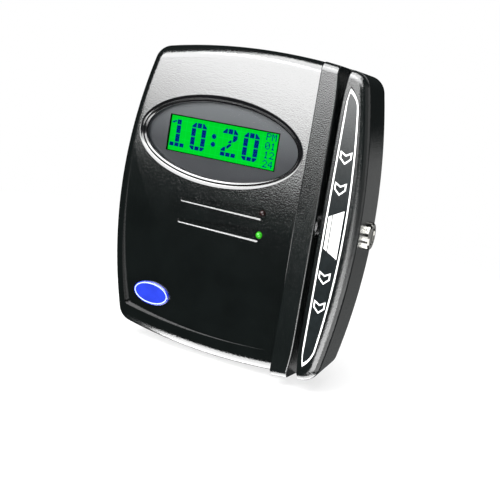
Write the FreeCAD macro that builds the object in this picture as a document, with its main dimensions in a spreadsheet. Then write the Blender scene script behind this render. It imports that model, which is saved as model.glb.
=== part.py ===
import FreeCAD, Part
import math
import os
import Sketcher

# Wall-mounted badge-swipe time clock.
# X runs to the right as seen from the front, Z up, and the front faces -Y.
# The origin is the middle of the face that lies on the wall, so depth from the wall is -Y.

V = FreeCAD.Vector

# Driving sizes, in millimetres. Slopes are millimetres per millimetre.
SIZES = {
    # Whole case: widest outline, its bowed sides and its taper towards the wall
    "case_wide": 161.3, "case_tall": 183.0, "case_deep": 41.3,
    "side_bow_radius": 368.0, "end_bow_radius": 390.0, "corner_radius": 10.8,
    "side_slope": 0.1557, "end_slope": 0.035,
    "wall": 2.5, "rear_gap": 1.2, "seam_x": 43.45, "seam_gap": 0.3,
    # Front cover: domed face, roll-over edge and the fallen-away apron at lower left
    "cover_round": 9.0, "cover_setback": 0.8,
    "dome_up_radius": 700.0, "dome_across_radius": 1500.0, "dome_x": -17.15, "dome_z": -5.0,
    "crease_x": 86.85, "crease_z": 85.0, "crease_radius": 169.4, "apron_rate": 0.000112,
    "apron_band": 12.9, "apron_side_band": 10.0, "apron_corner": 3.0, "seam_round": 0.7,
    "flange_wall": 2.4, "flange_depth": 28.0,
    # Reader block: strip, swipe slot and outer rail
    "reader_round": 4.6, "slot_x": 57.3, "slot_wide": 3.3, "slot_deep": 15.3,
    "flare_start": 65.0, "flare_radius": 130.0, "slot_edge_round": 0.8,
    "guide_wall": 2.0, "web_depth": 22.0, "base_thick": 2.5, "cavity_half": 62.0,
    "base_left": 10.8, "base_right": 8.4, "base_notch_half": 25.0, "base_notch": 3.6,
    "base_fit": 0.05, "base_end_gap": 0.3,
    "reader_screw_side": 8.85, "reader_screw_other": 6.15,
    "reader_screw_inner": 48.0, "reader_screw_end": 15.5, "reader_boss_radius": 2.4,
    # Display opening: elliptical bezel that slopes inwards, lens and its printed film
    "display_x": -14.65, "display_z": 35.5, "bezel_half_wide": 55.2, "bezel_half_tall": 26.1,
    "bezel_proud": 0.2, "bead_wide": 2.1, "bead_run": 1.8, "bead_drop": 0.9,
    "bezel_groove": 0.7, "groove_sink": 1.6,
    "lip_wide": 1.2, "lip_sink": 0.95, "lip_run": 1.0, "lip_drop": 0.5,
    "bezel_fit": 0.1, "bezel_flange": 2.2, "bezel_back": 33.4,
    "lens_thick": 1.5, "lens_front": 35.9, "lens_ledge": 1.0, "lens_fit": 0.1,
    "film_thick": 0.2, "window_wide": 74.5, "window_tall": 22.0,
    # Display module
    "lcd_front": 33.2, "lcd_frame_wide": 97.0, "lcd_frame_tall": 40.0, "lcd_frame_deep": 7.6,
    "lcd_frame_wall": 0.6, "glass_wide": 84.0, "glass_tall": 31.0, "glass_thick": 1.4,
    "light_thick": 4.0, "lcd_stack_gap": 0.1,
    "lcd_board_wide": 98.0, "lcd_board_tall": 60.0, "board_thick": 1.6,
    "lcd_hole_x": 46.0, "lcd_hole_z": 27.0, "lcd_boss_radius": 2.8,
    "view_wide": 77.0, "view_tall": 26.0,
    # Main board and what it carries
    "board_back": 18.0, "board_left": -66.0, "board_right": 38.5, "board_half_tall": 76.0,
    "board_hole_left": -60.0, "board_hole_right": 32.5, "board_hole_z": 71.0,
    "board_boss_radius": 3.2,
    "processor_x": -30.0, "processor_z": 20.0, "processor_side": 14.0, "chip_thick": 1.6,
    "memory_x": -30.0, "memory_z": -6.0, "memory_wide": 10.0, "memory_tall": 6.0,
    "memory_pitch": 10.0,
    "capacitor_x": 26.0, "capacitor_z": 12.0, "capacitor_radius": 3.2, "capacitor_tall": 8.0,
    "capacitor_pitch": 9.0,
    "buzzer_x": 24.0, "buzzer_z": 54.0, "buzzer_radius": 7.0, "buzzer_tall": 6.5,
    "buzzer_port": 1.2,
    "cell_x": -38.0, "cell_z": -44.0, "cell_radius": 10.0, "cell_thick": 3.2, "cell_fit": 0.2,
    "holder_wall": 1.4, "holder_floor": 1.6,
    "header_thick": 2.5, "header_gap": 0.1,
    "lcd_header_long": 41.0, "lcd_header_drop": 3.0,
    "network_x": 2.0, "network_top": -6.5, "network_wide": 16.0, "network_long": 20.0,
    "network_tall": 13.3, "network_wall": 2.0, "network_socket_tall": 8.2,
    "network_socket_deep": 15.0,
    "power_x": 21.0, "power_top": -11.0, "power_wide": 9.6, "power_long": 14.5,
    "power_tall": 11.0, "power_bore_radius": 3.1, "power_bore_deep": 10.0,
    "power_pin_radius": 1.05,
    # Status lights in their tapered grooves
    "led_x": 21.15, "led_z": 0.5, "groove_pitch": 12.7, "groove_tip_x": -31.15,
    "groove_tip_drop": 2.0, "groove_tip_radius": 1.3, "groove_end_radius": 3.9,
    "groove_shallow": 0.5, "groove_deep": 2.4, "groove_pad": 2.6, "pad_margin": 5.0,
    "led_radius": 2.0, "led_flange": 2.5, "led_flange_thick": 1.0, "led_proud": 1.5,
    "led_fit": 0.1,
    "led_board_depth": 28.0, "led_board_wide": 26.0, "led_board_tall": 22.0,
    "led_screw_side": 9.0, "led_boss_radius": 2.3,
    "led_header_long": 8.0, "led_header_side": 9.0,
    # Oval badge
    "badge_x": -45.15, "badge_rise": 28.7, "badge_half_wide": 13.1, "badge_half_tall": 7.2,
    "badge_thick": 1.3, "badge_round": 0.6, "badge_lift": 0.02,
    # Rail decal: a leaf outline with a straight left edge
    "decal_left": 3.75, "decal_top": 67.0, "decal_bottom": -67.0,
    "decal_tip_top": 78.3, "decal_tip_bottom": -79.5, "decal_tip_in": 1.9,
    "decal_wide": 8.7, "decal_belly": 13.5, "decal_belly_z": -1.0,
    "decal_thick": 0.3, "decal_fit": 0.1,
    # Magnetic read head, its spring, board and leads
    "head_depth": 35.0, "head_tall": 7.0, "head_half_long": 6.0, "head_crown_radius": 9.0,
    "head_proud": 0.6, "head_back": 7.8, "head_window_fit": 0.25,
    "head_stop": 0.8, "head_stop_half": 8.0, "head_stop_gap": 0.1,
    "spring_thick": 0.3, "spring_leaf": 3.5, "spring_half_long": 15.0, "spring_foot": 3.0,
    "reader_board_z": 32.0, "reader_board_half": 10.0, "reader_board_thick": 1.2,
    "reader_board_low": 24.0, "reader_board_high": 37.0, "reader_board_gap": 0.2,
    "reader_chip_half": 3.5, "reader_chip_thick": 1.2,
    "flex_thick": 0.3, "flex_low": 33.0, "flex_high": 36.5, "flex_start": 8.8,
    "ribbon_thick": 0.5, "ribbon_half": 5.0, "ribbon_depth": 21.4,
    # Cam lock in the right side, square to the sloping wall
    "lock_depth": 12.5, "lock_z": -2.0, "lock_face_radius": 8.0, "lock_face": 2.5,
    "lock_face_round": 0.9, "lock_barrel_radius": 6.0, "lock_barrel": 11.0,
    "plug_radius": 4.0, "plug_fit": 0.05, "plug_sink": 0.4,
    "key_wide": 1.3, "key_tall": 5.6, "key_deep": 7.0,
    "nut_flats": 15.0, "nut_thick": 3.0, "nut_fit": 0.2,
    "cam_thick": 1.6, "cam_reach": 8.5, "cam_hub_radius": 4.6, "cam_tip_radius": 3.0,
    "cam_gap": 0.1, "cam_screw_radius": 1.5, "cam_screw_head": 3.0,
    "cam_screw_head_thick": 1.5, "cam_screw_long": 5.0,
    # Keeper on the wall plate, which the cam turns behind
    "keeper_thick": 1.6, "keeper_half_wide": 3.0, "keeper_x": 65.4, "keeper_tab": 9.2,
    "keeper_foot": 13.0, "keeper_gap": 0.4, "keeper_reach_gap": 4.4,
    # Wall plate, its screw holes, cable opening and ribs
    "plate_thick": 2.5, "plate_gap": 1.5, "plate_swing_gap": 5.4,
    "wall_screw_across": 70.0, "wall_screw_up": 120.0, "wall_screw_radius": 2.25,
    "wall_screw_sink": 4.5, "wall_screw_sink_deep": 0.9,
    "cable_x": 8.0, "cable_z": -46.0, "cable_wide": 44.0, "cable_tall": 30.0,
    "cable_corner": 3.0, "rib_thick": 1.6, "rib_tall": 1.5, "rib_x": 46.0, "rib_half": 74.0,
    # Hinge at the left rear edge
    "hinge_x": -73.3, "hinge_depth": 5.0, "hinge_z": 22.0, "knuckle_radius": 2.6,
    "knuckle_long": 12.0, "cover_knuckle_long": 6.0, "hinge_end_gap": 0.3,
    "pin_radius": 1.0, "pin_fit": 0.05, "hinge_notch_gap": 0.6, "web_thick": 2.4,
    # Fasteners
    "screw_radius": 1.25, "screw_head_radius": 2.6, "screw_head": 1.8,
    "screw_long": 8.0, "small_screw_radius": 1.0, "small_head_radius": 2.1,
    "small_head": 1.5, "small_screw_long": 6.0, "seam_screw_depth": 30.6,
    "seam_screw_low": -60.0, "seam_screw_mid": -28.0, "seam_screw_top": 66.0,
    "keeper_screw_deep": 2.0,
}

DOC = FreeCAD.newDocument("time_clock")
SHEET = DOC.addObject("Spreadsheet::Sheet", "Sizes")
for row, (alias, number) in enumerate(SIZES.items(), start=1):
    SHEET.set(f"A{row}", alias)
    SHEET.set(f"B{row}", str(number))
    SHEET.setAlias(f"B{row}", alias)
DOC.recompute()

NODES = {}


class Formula:
    """A size worked out from sheet cells: the text of its expression and its present value."""

    def __init__(self, text, value):
        self.text = text
        self.value = value

    def join(self, sign, other, value):
        return Formula(f"({self.text} {sign} {other.text})", value)

    def __add__(self, other):
        other = formula(other)
        return self.join("+", other, self.value + other.value)

    def __radd__(self, other):
        return formula(other) + self

    def __sub__(self, other):
        other = formula(other)
        return self.join("-", other, self.value - other.value)

    def __rsub__(self, other):
        return formula(other) - self

    def __mul__(self, other):
        other = formula(other)
        return self.join("*", other, self.value * other.value)

    def __rmul__(self, other):
        return formula(other) * self

    def __truediv__(self, other):
        other = formula(other)
        return self.join("/", other, self.value / other.value)

    def __neg__(self):
        return Formula(f"(0 - {self.text})", -self.value)


def formula(size):
    """Any size, plain or worked out, as a Formula."""
    if isinstance(size, Formula):
        return size
    return Formula(repr(float(size)), float(size))


class Cells:
    """Reads a sheet cell by its alias, as in S.wall."""

    def __getattr__(self, alias):
        return Formula("Sizes." + alias, float(SHEET.get(alias)))


S = Cells()


def bind(target, name, size):
    """Tie a property of a document object to the sheet."""
    target.setExpression(name, formula(size).text)


def node(label, thing):
    """Keep a finished sub-part under its own name."""
    thing.Label = label
    NODES[label] = thing
    return thing


# Places that several sub-parts share

SEAM_LEFT = S.seam_x - S.seam_gap / 2
SEAM_RIGHT = S.seam_x + S.seam_gap / 2
SLOT_LEFT = S.slot_x - S.slot_wide / 2
SLOT_RIGHT = S.slot_x + S.slot_wide / 2
SLOT_FLOOR = S.case_deep - S.slot_deep
READER_RIM = S.case_deep - S.reader_round
BOARD_FRONT = S.board_back + S.board_thick
LENS_BACK = S.lens_front - S.lens_thick
LCD_BOARD_FRONT = S.lcd_front - S.lcd_frame_deep
LCD_BOARD_BACK = LCD_BOARD_FRONT - S.board_thick
LED_BOARD_FRONT = S.led_board_depth + S.board_thick
BEZEL_INNER = S.bead_wide + S.bezel_groove + S.lip_wide


# Curved case surfaces


def cover_rim():
    """Depth at which the front cover's outline is widest."""
    reach = S.case_wide.value / 2 + S.dome_x.value
    lean = math.atan(S.side_slope.value)
    between = math.pi / 2 - lean + reach / S.dome_across_radius.value
    edge = S.case_deep.value - S.cover_setback.value - reach**2 / (2 * S.dome_across_radius.value)
    return edge - S.cover_round.value / math.tan(between / 2) * math.cos(lean)


def side_x(side, depth, inset=0.0):
    """X of the left (-1) or right (1) case wall at mid-height."""
    rim = READER_RIM.value if side > 0 else cover_rim()
    return side * (S.case_wide.value / 2 - (rim - depth) * S.side_slope.value - inset)


def end_z(depth, inset=0.0):
    """Half height of the case at its middle."""
    return S.case_tall.value / 2 - (cover_rim() - depth) * S.end_slope.value - inset


def outline(depth, inset):
    """The case's outline in the plane at one depth: four arcs that bow outwards."""
    left, right, top = side_x(-1, depth, inset), side_x(1, depth, inset), end_z(depth, inset)
    side_radius = S.side_bow_radius.value - inset
    end_radius = S.end_bow_radius.value - inset

    def corner(side, wall_x):
        centre = wall_x - side * side_radius
        z = top
        for _ in range(60):
            x = centre + side * math.sqrt(side_radius**2 - z * z)
            z = top - end_radius + math.sqrt(end_radius**2 - x * x)
        return x, z

    def place(x, z):
        return V(x, -depth, z)

    (rx, rz), (lx, lz) = corner(1, right), corner(-1, left)
    arcs = [
        Part.Arc(place(lx, -lz), place(left, 0), place(lx, lz)),
        Part.Arc(place(lx, lz), place(0, top), place(rx, rz)),
        Part.Arc(place(rx, rz), place(right, 0), place(rx, -rz)),
        Part.Arc(place(rx, -rz), place(0, -top), place(lx, -lz)),
    ]
    return Part.Wire([arc.toShape() for arc in arcs])


def envelope(back, front, inset, corner):
    """The tapered barrel between two depths, with rounded corners."""
    solid = Part.makeLoft([outline(back, inset), outline(front, inset)], True, True)
    upright = [e for e in solid.Edges if e.BoundBox.YLength > 0.8 * (front - back)]
    return solid.makeFillet(corner, upright)


def front_rounded(solid, radius):
    """Round the rim where the case's walls meet its front."""
    behind = -S.case_deep.value / 2
    return solid.makeFillet(radius, [e for e in solid.Edges if e.BoundBox.YMax < behind])


def dome(up, across, x, z, depth):
    """A solid whose front is a barrel-shaped dome with its top at one point."""
    reach, back = S.case_tall.value, S.case_tall.value
    sag = up - math.sqrt(up**2 - reach**2)
    low, top, high = V(x, sag - depth, z - reach), V(x, -depth, z), V(x, sag - depth, z + reach)
    far_low, far_high = V(x, back, z - reach), V(x, back, z + reach)
    face = Part.Face(Part.Wire([
        Part.Arc(low, top, high).toShape(), Part.makeLine(high, far_high),
        Part.makeLine(far_high, far_low), Part.makeLine(far_low, low),
    ]))
    axis = V(x, across - depth, z)
    half_turn = math.degrees(math.asin(reach / across))
    face.rotate(axis, V(0, 0, 1), -half_turn)
    return face.revolve(axis, V(0, 0, 1), 2 * half_turn)


def face_dome(offset):
    """The cover's domed face, moved outwards by an offset."""
    return dome(
        S.dome_up_radius.value + offset, S.dome_across_radius.value + offset,
        S.dome_x.value, S.dome_z.value, S.case_deep.value - S.cover_setback.value + offset,
    )


def face_depth(x, z):
    """Depth of the cover's domed face."""
    across = (x - S.dome_x.value) ** 2 / (2 * S.dome_across_radius.value)
    up = (z - S.dome_z.value) ** 2 / (2 * S.dome_up_radius.value)
    return S.case_deep.value - S.cover_setback.value - across - up


def apron_shape():
    """Radii, middle and depth of the dome that falls away outside the crease circle."""
    rate = S.apron_rate.value
    bend_across = 1 / S.dome_across_radius.value + 2 * rate
    bend_up = 1 / S.dome_up_radius.value + 2 * rate
    x = (S.dome_x.value / S.dome_across_radius.value + 2 * rate * S.crease_x.value) / bend_across
    z = (S.dome_z.value / S.dome_up_radius.value + 2 * rate * S.crease_z.value) / bend_up
    spread = (x - S.crease_x.value) ** 2 + (z - S.crease_z.value) ** 2 - S.crease_radius.value**2
    return 1 / bend_up, 1 / bend_across, x, z, face_depth(x, z) - rate * spread


def apron_dome(offset):
    """The apron's surface, moved outwards by an offset."""
    up, across, x, z, depth = apron_shape()
    return dome(up + offset, across + offset, x, z, depth + offset)


# Plain solids used to cut and build the curved shells


def slab(x, depth, z):
    """A box given by its limits in X, in depth and in Z."""
    corner = V(x[0], -depth[1], z[0])
    return Part.makeBox(x[1] - x[0], depth[1] - depth[0], z[1] - z[0], corner)


def post(x, z, radius, back, front):
    """A round post or hole that stands square to the wall."""
    return Part.makeCylinder(radius, front - back, V(x, -front, z), V(0, 1, 0))


def ellipse_post(half_wide, half_tall, back, front):
    """An elliptical prism about the middle of the display."""
    shape = Part.Ellipse(V(0, 0, 0), half_wide, half_tall).toShape()
    face = Part.Face(Part.Wire([shape]))
    face.rotate(V(0, 0, 0), V(1, 0, 0), 90)
    face.translate(V(S.display_x.value, -back, S.display_z.value))
    return face.extrude(V(0, back - front, 0))


def all_space():
    """A reach that is beyond the case on every side."""
    return S.case_tall.value


FAR = all_space()


def beyond_x(x, side):
    """Everything on one side of a plane across X."""
    limits = (x, x + FAR) if side > 0 else (x - FAR, x)
    return slab(limits, (-FAR, FAR), (-FAR, FAR))


def led_places():
    """Where the two status lights stand."""
    x, z = S.led_x.value, S.led_z.value
    return [(x, z), (x, z - S.groove_pitch.value)]


def groove(x, z):
    """One tapered groove: it widens and deepens from its tip to the light."""
    tip_x, tip_z = S.groove_tip_x.value, z - S.groove_tip_drop.value
    small, large = S.groove_tip_radius.value, S.groove_end_radius.value
    back, front = face_depth(x, z) - 2 * S.wall.value, S.case_deep.value + S.wall.value
    run = math.hypot(x - tip_x, z - tip_z)
    lean = math.atan2(z - tip_z, x - tip_x)
    flank = math.acos((large - small) / run)

    def touch(centre, radius, turn):
        angle = lean + math.pi + turn
        return V(centre[0] + radius * math.cos(angle), 0, centre[1] + radius * math.sin(angle))

    corners = [
        touch((tip_x, tip_z), small, flank), touch((tip_x, tip_z), small, -flank),
        touch((x, z), large, -flank), touch((x, z), large, flank),
    ]
    middle = Part.Face(Part.makePolygon(corners + corners[:1]))
    middle.translate(V(0, -back, 0))
    body = middle.extrude(V(0, back - front, 0))
    body = body.fuse([post(tip_x, tip_z, small, back, front), post(x, z, large, back, front)])
    start, end = tip_x - small, x + large
    floor = [
        V(start, -(face_depth(start, tip_z) - S.groove_shallow.value), 0),
        V(end, -(face_depth(end, z) - S.groove_deep.value), 0),
        V(end, -front, 0), V(start, -front, 0),
    ]
    wedge = Part.Face(Part.makePolygon(floor + floor[:1]))
    wedge.translate(V(0, 0, z - 2 * large))
    return body.common(wedge.extrude(V(0, 0, 4 * large)))


def hinge_barrels(lengths, radius):
    """Round bars on the hinge axis, each from one Z to another."""
    x, y = S.hinge_x.value, -S.hinge_depth.value
    return [Part.makeCylinder(radius, high - low, V(x, y, low)) for low, high in lengths]


def hinge_stations():
    """Z of the middle of each hinge."""
    return [-S.hinge_z.value, S.hinge_z.value]


def plate_knuckle_spans():
    half = S.knuckle_long.value / 2
    return [(z - half, z + half) for z in hinge_stations()]


def cover_knuckle_spans():
    near = S.knuckle_long.value / 2 + S.hinge_end_gap.value
    far = near + S.cover_knuckle_long.value
    spans = []
    for z in hinge_stations():
        spans += [(z - far, z - near), (z + near, z + far)]
    return spans


def pin_spans():
    reach = S.knuckle_long.value / 2 + S.hinge_end_gap.value + S.cover_knuckle_long.value
    return [(z - reach, z + reach) for z in hinge_stations()]


def board_holes():
    xs = (S.board_hole_left, S.board_hole_right)
    return [(x, z) for x in xs for z in (-S.board_hole_z, S.board_hole_z)]


def lcd_holes():
    return [
        (S.display_x + sx * S.lcd_hole_x, S.display_z + sz * S.lcd_hole_z)
        for sx in (-1, 1) for sz in (-1, 1)
    ]


def led_board_middle():
    return S.led_x, S.led_z - S.groove_pitch / 2


def led_board_holes():
    x, z = led_board_middle()
    return [(x - S.led_screw_side, z), (x + S.led_screw_side, z)]


def reader_screw_places():
    places = []
    for z in (S.reader_screw_inner, S.case_tall / 2 - S.reader_screw_end):
        for x in (S.slot_x - S.reader_screw_side, S.slot_x + S.reader_screw_other):
            places += [(x, z), (x, -z)]
    return places


def seam_screw_places():
    return [S.seam_screw_low, S.seam_screw_mid, S.seam_screw_top]


def numbers(pair):
    """The present values of a pair of sizes."""
    return pair[0].value, pair[1].value


# Front cover


def cover_block(inset):
    """The solid cover, or with an inset the hollow inside it."""
    margin = 2 * S.wall.value
    back = S.rear_gap.value if inset == 0 else -margin
    tall = envelope(back, S.case_deep.value + margin, inset, S.corner_radius.value - inset)
    return front_rounded(tall.common(face_dome(-inset)), S.cover_round.value - inset)


def front_cover():
    """Domed shell with hinge knuckles, display opening, light grooves and screw bosses."""
    wall = S.wall.value
    full = cover_block(0)
    apron = envelope(
        S.case_deep.value / 2, S.case_deep.value + 2 * wall,
        S.apron_band.value, S.apron_corner.value,
    )
    apron.translate(V(S.apron_side_band.value - S.apron_band.value, 0, 0))
    full = full.cut(apron.cut(apron_dome(0)))
    full = full.cut(beyond_x(SEAM_LEFT.value, 1))
    seam = [
        e for e in full.Edges
        if e.BoundBox.XMin > SEAM_LEFT.value - 0.01 and e.BoundBox.YMax < -S.flange_depth.value
    ]
    full = full.makeFillet(S.seam_round.value, seam)

    # Bosses and the thick pad behind the grooves are left standing in the hollow
    bosses = []
    for x, z in map(numbers, board_holes()):
        bosses.append(post(x, z, S.board_boss_radius.value, BOARD_FRONT.value, FAR))
    for x, z in map(numbers, lcd_holes()):
        bosses.append(post(x, z, S.lcd_boss_radius.value, LCD_BOARD_FRONT.value, FAR))
    for x, z in map(numbers, led_board_holes()):
        bosses.append(post(x, z, S.led_boss_radius.value, LED_BOARD_FRONT.value, FAR))
    margin, end = S.pad_margin.value, S.groove_end_radius.value
    pad_back = face_depth(S.led_x.value, S.led_z.value) - wall - S.groove_pad.value
    bosses.append(slab(
        (S.groove_tip_x.value - margin, S.led_x.value + end + margin), (pad_back, FAR),
        (S.led_z.value - S.groove_pitch.value - end - margin / 2, S.led_z.value + end),
    ))
    hollow = cover_block(wall).common(apron_dome(-wall)).cut(bosses)
    front_part = hollow.cut(beyond_x(SEAM_LEFT.value - S.flange_wall.value, 1))
    rear_part = hollow.common(slab((-FAR, FAR), (-FAR, S.flange_depth.value), (-FAR, FAR)))
    shell = full.cut([front_part, rear_part])

    # Hinge knuckles are part of the left wall
    plain = [numbers(pair) for pair in board_holes() + lcd_holes() + led_board_holes()]
    knuckles = hinge_barrels(cover_knuckle_spans(), S.knuckle_radius.value)
    webs = [
        slab((side_x(-1, S.hinge_depth.value) + wall / 2, S.hinge_x.value),
             (S.hinge_depth.value, S.hinge_depth.value + S.knuckle_radius.value), span)
        for span in cover_knuckle_spans()
    ]
    shell = shell.fuse([piece.common(full) for piece in knuckles + webs])
    gap = S.hinge_end_gap.value
    notch_front = S.hinge_depth.value + S.knuckle_radius.value + S.hinge_notch_gap.value
    notch_side = S.hinge_x.value + S.knuckle_radius.value + S.hinge_notch_gap.value
    notches = [
        slab((-FAR, notch_side), (0, notch_front), (low - gap, high + gap))
        for low, high in plate_knuckle_spans()
    ]
    bores = hinge_barrels(pin_spans(), S.pin_radius.value)

    # Holes: display opening, light grooves, lights, screws, lock and buzzer ports
    fit = S.bezel_fit.value
    wide, tall = S.bezel_half_wide.value + fit, S.bezel_half_tall.value + fit
    holes = [ellipse_post(wide, tall, S.bezel_back.value - 2 * wall, FAR)]
    for x, z in led_places():
        holes.append(groove(x, z))
        holes.append(post(x, z, S.led_radius.value + S.led_fit.value, 0, FAR))
        holes.append(post(x, z, S.led_flange.value + S.led_fit.value, 0, led_seat()))
    seats = [BOARD_FRONT.value] * 4 + [LCD_BOARD_FRONT.value] * 4 + [LED_BOARD_FRONT.value] * 2
    radii = [S.screw_radius.value] * 4 + [S.small_screw_radius.value] * 6
    reach = [S.screw_long.value] * 4 + [S.small_screw_long.value] * 6
    for (x, z), seat, radius, deep in zip(plain, seats, radii, reach):
        holes.append(post(x, z, radius, seat - wall, seat + deep))
    for z in seam_screw_places():
        holes.append(Part.makeCylinder(
            S.small_screw_radius.value, FAR,
            V(SEAM_LEFT.value - 2 * S.flange_wall.value, -S.seam_screw_depth.value, z.value),
            V(1, 0, 0),
        ))
    return shell.cut(notches + bores + holes)


def led_seat():
    """Depth of the seat that the lights' flanges rest against."""
    return face_depth(S.led_x.value, S.led_z.value) - S.wall.value - S.led_flange_thick.value


# Display bezel


def display_bezel():
    """Elliptical ring that follows the domed face: sloping bead, groove, sloping lip."""
    wide, tall = S.bezel_half_wide.value, S.bezel_half_tall.value
    back, front = S.bezel_back.value, S.case_deep.value + 2 * S.wall.value

    def band(outer_inset, inner_inset, offset, low=back):
        outer = ellipse_post(wide - outer_inset, tall - outer_inset, low, front)
        inner = ellipse_post(wide - inner_inset, tall - inner_inset, 0, FAR)
        return outer.cut(inner).common(face_dome(offset))

    def sloped(solid, run, drop):
        """Bevel the front of a band down to its inner edge."""
        shallow = -(S.case_deep.value - 2 * S.wall.value)
        rims = [e for e in solid.Edges if e.BoundBox.YMax < shallow and e.Length > wide]
        inner_rim = min(rims, key=lambda e: e.BoundBox.XLength)
        return solid.makeChamfer(run.value, drop.value, [inner_rim])

    bead_end = S.bead_wide.value
    groove_end = bead_end + S.bezel_groove.value
    inner = groove_end + S.lip_wide.value
    bead = sloped(band(0, bead_end, S.bezel_proud.value), S.bead_run, S.bead_drop)
    floor = band(bead_end, groove_end, -S.groove_sink.value)
    lip = sloped(band(groove_end, inner, -S.lip_sink.value), S.lip_run, S.lip_drop)
    ring = bead.fuse([floor, lip])
    # A flange behind the cover's face keeps the ring from pulling out
    behind = S.wall.value + S.bezel_fit.value
    seat = band(-S.bezel_flange.value, bead_end, -behind)
    seat = seat.common(cover_block(behind)).common(apron_dome(-behind))
    limit = SEAM_LEFT.value - S.flange_wall.value - S.bezel_fit.value
    ring = ring.fuse(seat.cut(beyond_x(limit, 1)))
    rebate = S.lens_ledge.value + S.lens_fit.value
    return ring.cut(ellipse_post(
        wide - inner + rebate, tall - inner + rebate, 0, S.lens_front.value,
    ))


# Reader block: guide strip, slot base and outer rail


def reader_block(inset):
    """The flat-fronted case solid that the reader's mouldings are cut from."""
    back = S.rear_gap.value if inset == 0 else -S.wall.value
    front = S.case_deep.value - inset
    solid = envelope(back, front, inset, S.corner_radius.value - inset)
    return front_rounded(solid, S.reader_round.value - inset)


def slot_space():
    """The swipe slot: straight in the middle and flared at both ends."""
    floor, front = SLOT_FLOOR.value, S.case_deep.value + S.wall.value
    start, radius = S.flare_start.value, S.flare_radius.value
    end = S.case_tall.value / 2 + S.wall.value

    def flare(side, edge, sign):
        def point(z):
            return V(edge + side * (z - start) ** 2 / (2 * radius), -floor, sign * z)
        return Part.Arc(point(start), point((start + end) / 2), point(end)).toShape()

    left, right = SLOT_LEFT.value, SLOT_RIGHT.value
    arcs = [flare(side, edge, sign)
            for side, edge in ((-1, left), (1, right)) for sign in (-1, 1)]
    ends = [arc.Vertexes[1].Point for arc in arcs]
    starts = [arc.Vertexes[0].Point for arc in arcs]
    edges = arcs + [
        Part.makeLine(starts[0], starts[1]), Part.makeLine(starts[2], starts[3]),
        Part.makeLine(ends[0], ends[2]), Part.makeLine(ends[1], ends[3]),
    ]
    face = Part.Face(Part.Wire(Part.__sortEdges__(edges)))
    return face.extrude(V(0, floor - front, 0))


def slot_edges(solid, xs):
    """The long front edges of a moulding that face the slot or the seam."""
    front = -(S.case_deep.value - 0.01)
    found = []
    for edge in solid.Edges:
        box = edge.BoundBox
        near = any(abs(box.Center.x - x) < S.slot_wide.value and box.XLength < S.slot_wide.value
                   for x in xs)
        if near and box.YMax < front and box.ZLength > S.wall.value:
            found.append(edge)
    return found


def reader_bosses(left, right, block):
    """Screw bosses under the slot base, within one moulding."""
    bosses = []
    for x, z in map(numbers, reader_screw_places()):
        if left < x < right:
            boss = post(x, z, S.reader_boss_radius.value, S.web_depth.value, FAR)
            bosses.append(boss.common(block))
    return bosses


def reader_screw_holes():
    back, front = 0, S.web_depth.value + S.screw_long.value
    return [post(x, z, S.small_screw_radius.value, back, front)
            for x, z in map(numbers, reader_screw_places())]


def reader_guide():
    """Strip between the seam and the slot: it carries the read head."""
    left, right = SEAM_RIGHT.value, SLOT_LEFT.value
    block = reader_block(0).cut([beyond_x(left, -1), beyond_x(right, 1)]).cut(slot_space())
    block = block.makeFillet(S.slot_edge_round.value, slot_edges(block, (left, right)))
    skin, web = S.guide_wall.value, S.web_depth.value
    inside = reader_block(S.wall.value)
    flared = (end_z(0) - S.flare_start.value) ** 2 / (2 * S.flare_radius.value)
    cavity = inside.cut([beyond_x(left + skin, -1), beyond_x(right - flared - skin, 1)])
    half = S.cavity_half.value
    middle = inside.common(slab((left + skin, right - skin), (web, FAR), (-half, half)))
    open_rear = inside.common(slab((-FAR, FAR), (-FAR, web), (-FAR, FAR)))
    guide = block.cut([cavity, middle, open_rear])
    guide = guide.fuse(reader_bosses(left, right, block))
    fit = S.head_window_fit.value
    half_long, half_tall = S.head_half_long.value + fit, S.head_tall.value / 2 + fit
    window = slab(
        (right - 2 * skin, right + skin),
        (S.head_depth.value - half_tall, S.head_depth.value + half_tall),
        (-half_long, half_long),
    )
    seam_holes = [
        Part.makeCylinder(S.small_screw_radius.value, 2 * skin,
                          V(left - skin / 2, -S.seam_screw_depth.value, z.value), V(1, 0, 0))
        for z in seam_screw_places()
    ]
    return guide.cut([window] + seam_holes + reader_screw_holes())


def lock_frame():
    """Placement of the lock: its local +X points out of the sloping side wall."""
    depth = S.lock_depth.value
    turn = math.degrees(math.atan(S.side_slope.value))
    place = V(side_x(1, depth), -depth, S.lock_z.value)
    return FreeCAD.Placement(place, FreeCAD.Rotation(V(0, 0, 1), turn))


def swipe_rail():
    """Outer rail and right side wall, with the lock's hole and a seat for the decal."""
    left = SLOT_RIGHT.value
    block = reader_block(0).cut(beyond_x(left, -1)).cut(slot_space())
    block = block.makeFillet(S.slot_edge_round.value, slot_edges(block, (left,)))
    skin, web, half = S.guide_wall.value, S.web_depth.value, S.cavity_half.value
    inside = reader_block(S.wall.value)
    flared = (end_z(0) - S.flare_start.value) ** 2 / (2 * S.flare_radius.value)
    cavity = inside.cut(beyond_x(left + flared + skin, -1))
    middle = inside.common(slab((left + skin, FAR), (web, FAR), (-half, half)))
    open_rear = inside.common(slab((-FAR, FAR), (-FAR, web), (-FAR, FAR)))
    rail = block.cut([cavity, middle, open_rear])
    rail = rail.fuse(reader_bosses(left, left + FAR, block))
    hole = Part.makeCylinder(S.lock_barrel_radius.value, FAR, V(-FAR / 2, 0, 0), V(1, 0, 0))
    hole.Placement = lock_frame().multiply(hole.Placement)
    hole = hole.common(beyond_x(left + 2 * skin, 1))
    seat = decal_prism(0, S.case_deep.value - S.decal_thick.value, FAR)
    return rail.cut([hole, seat] + reader_screw_holes())


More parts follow.
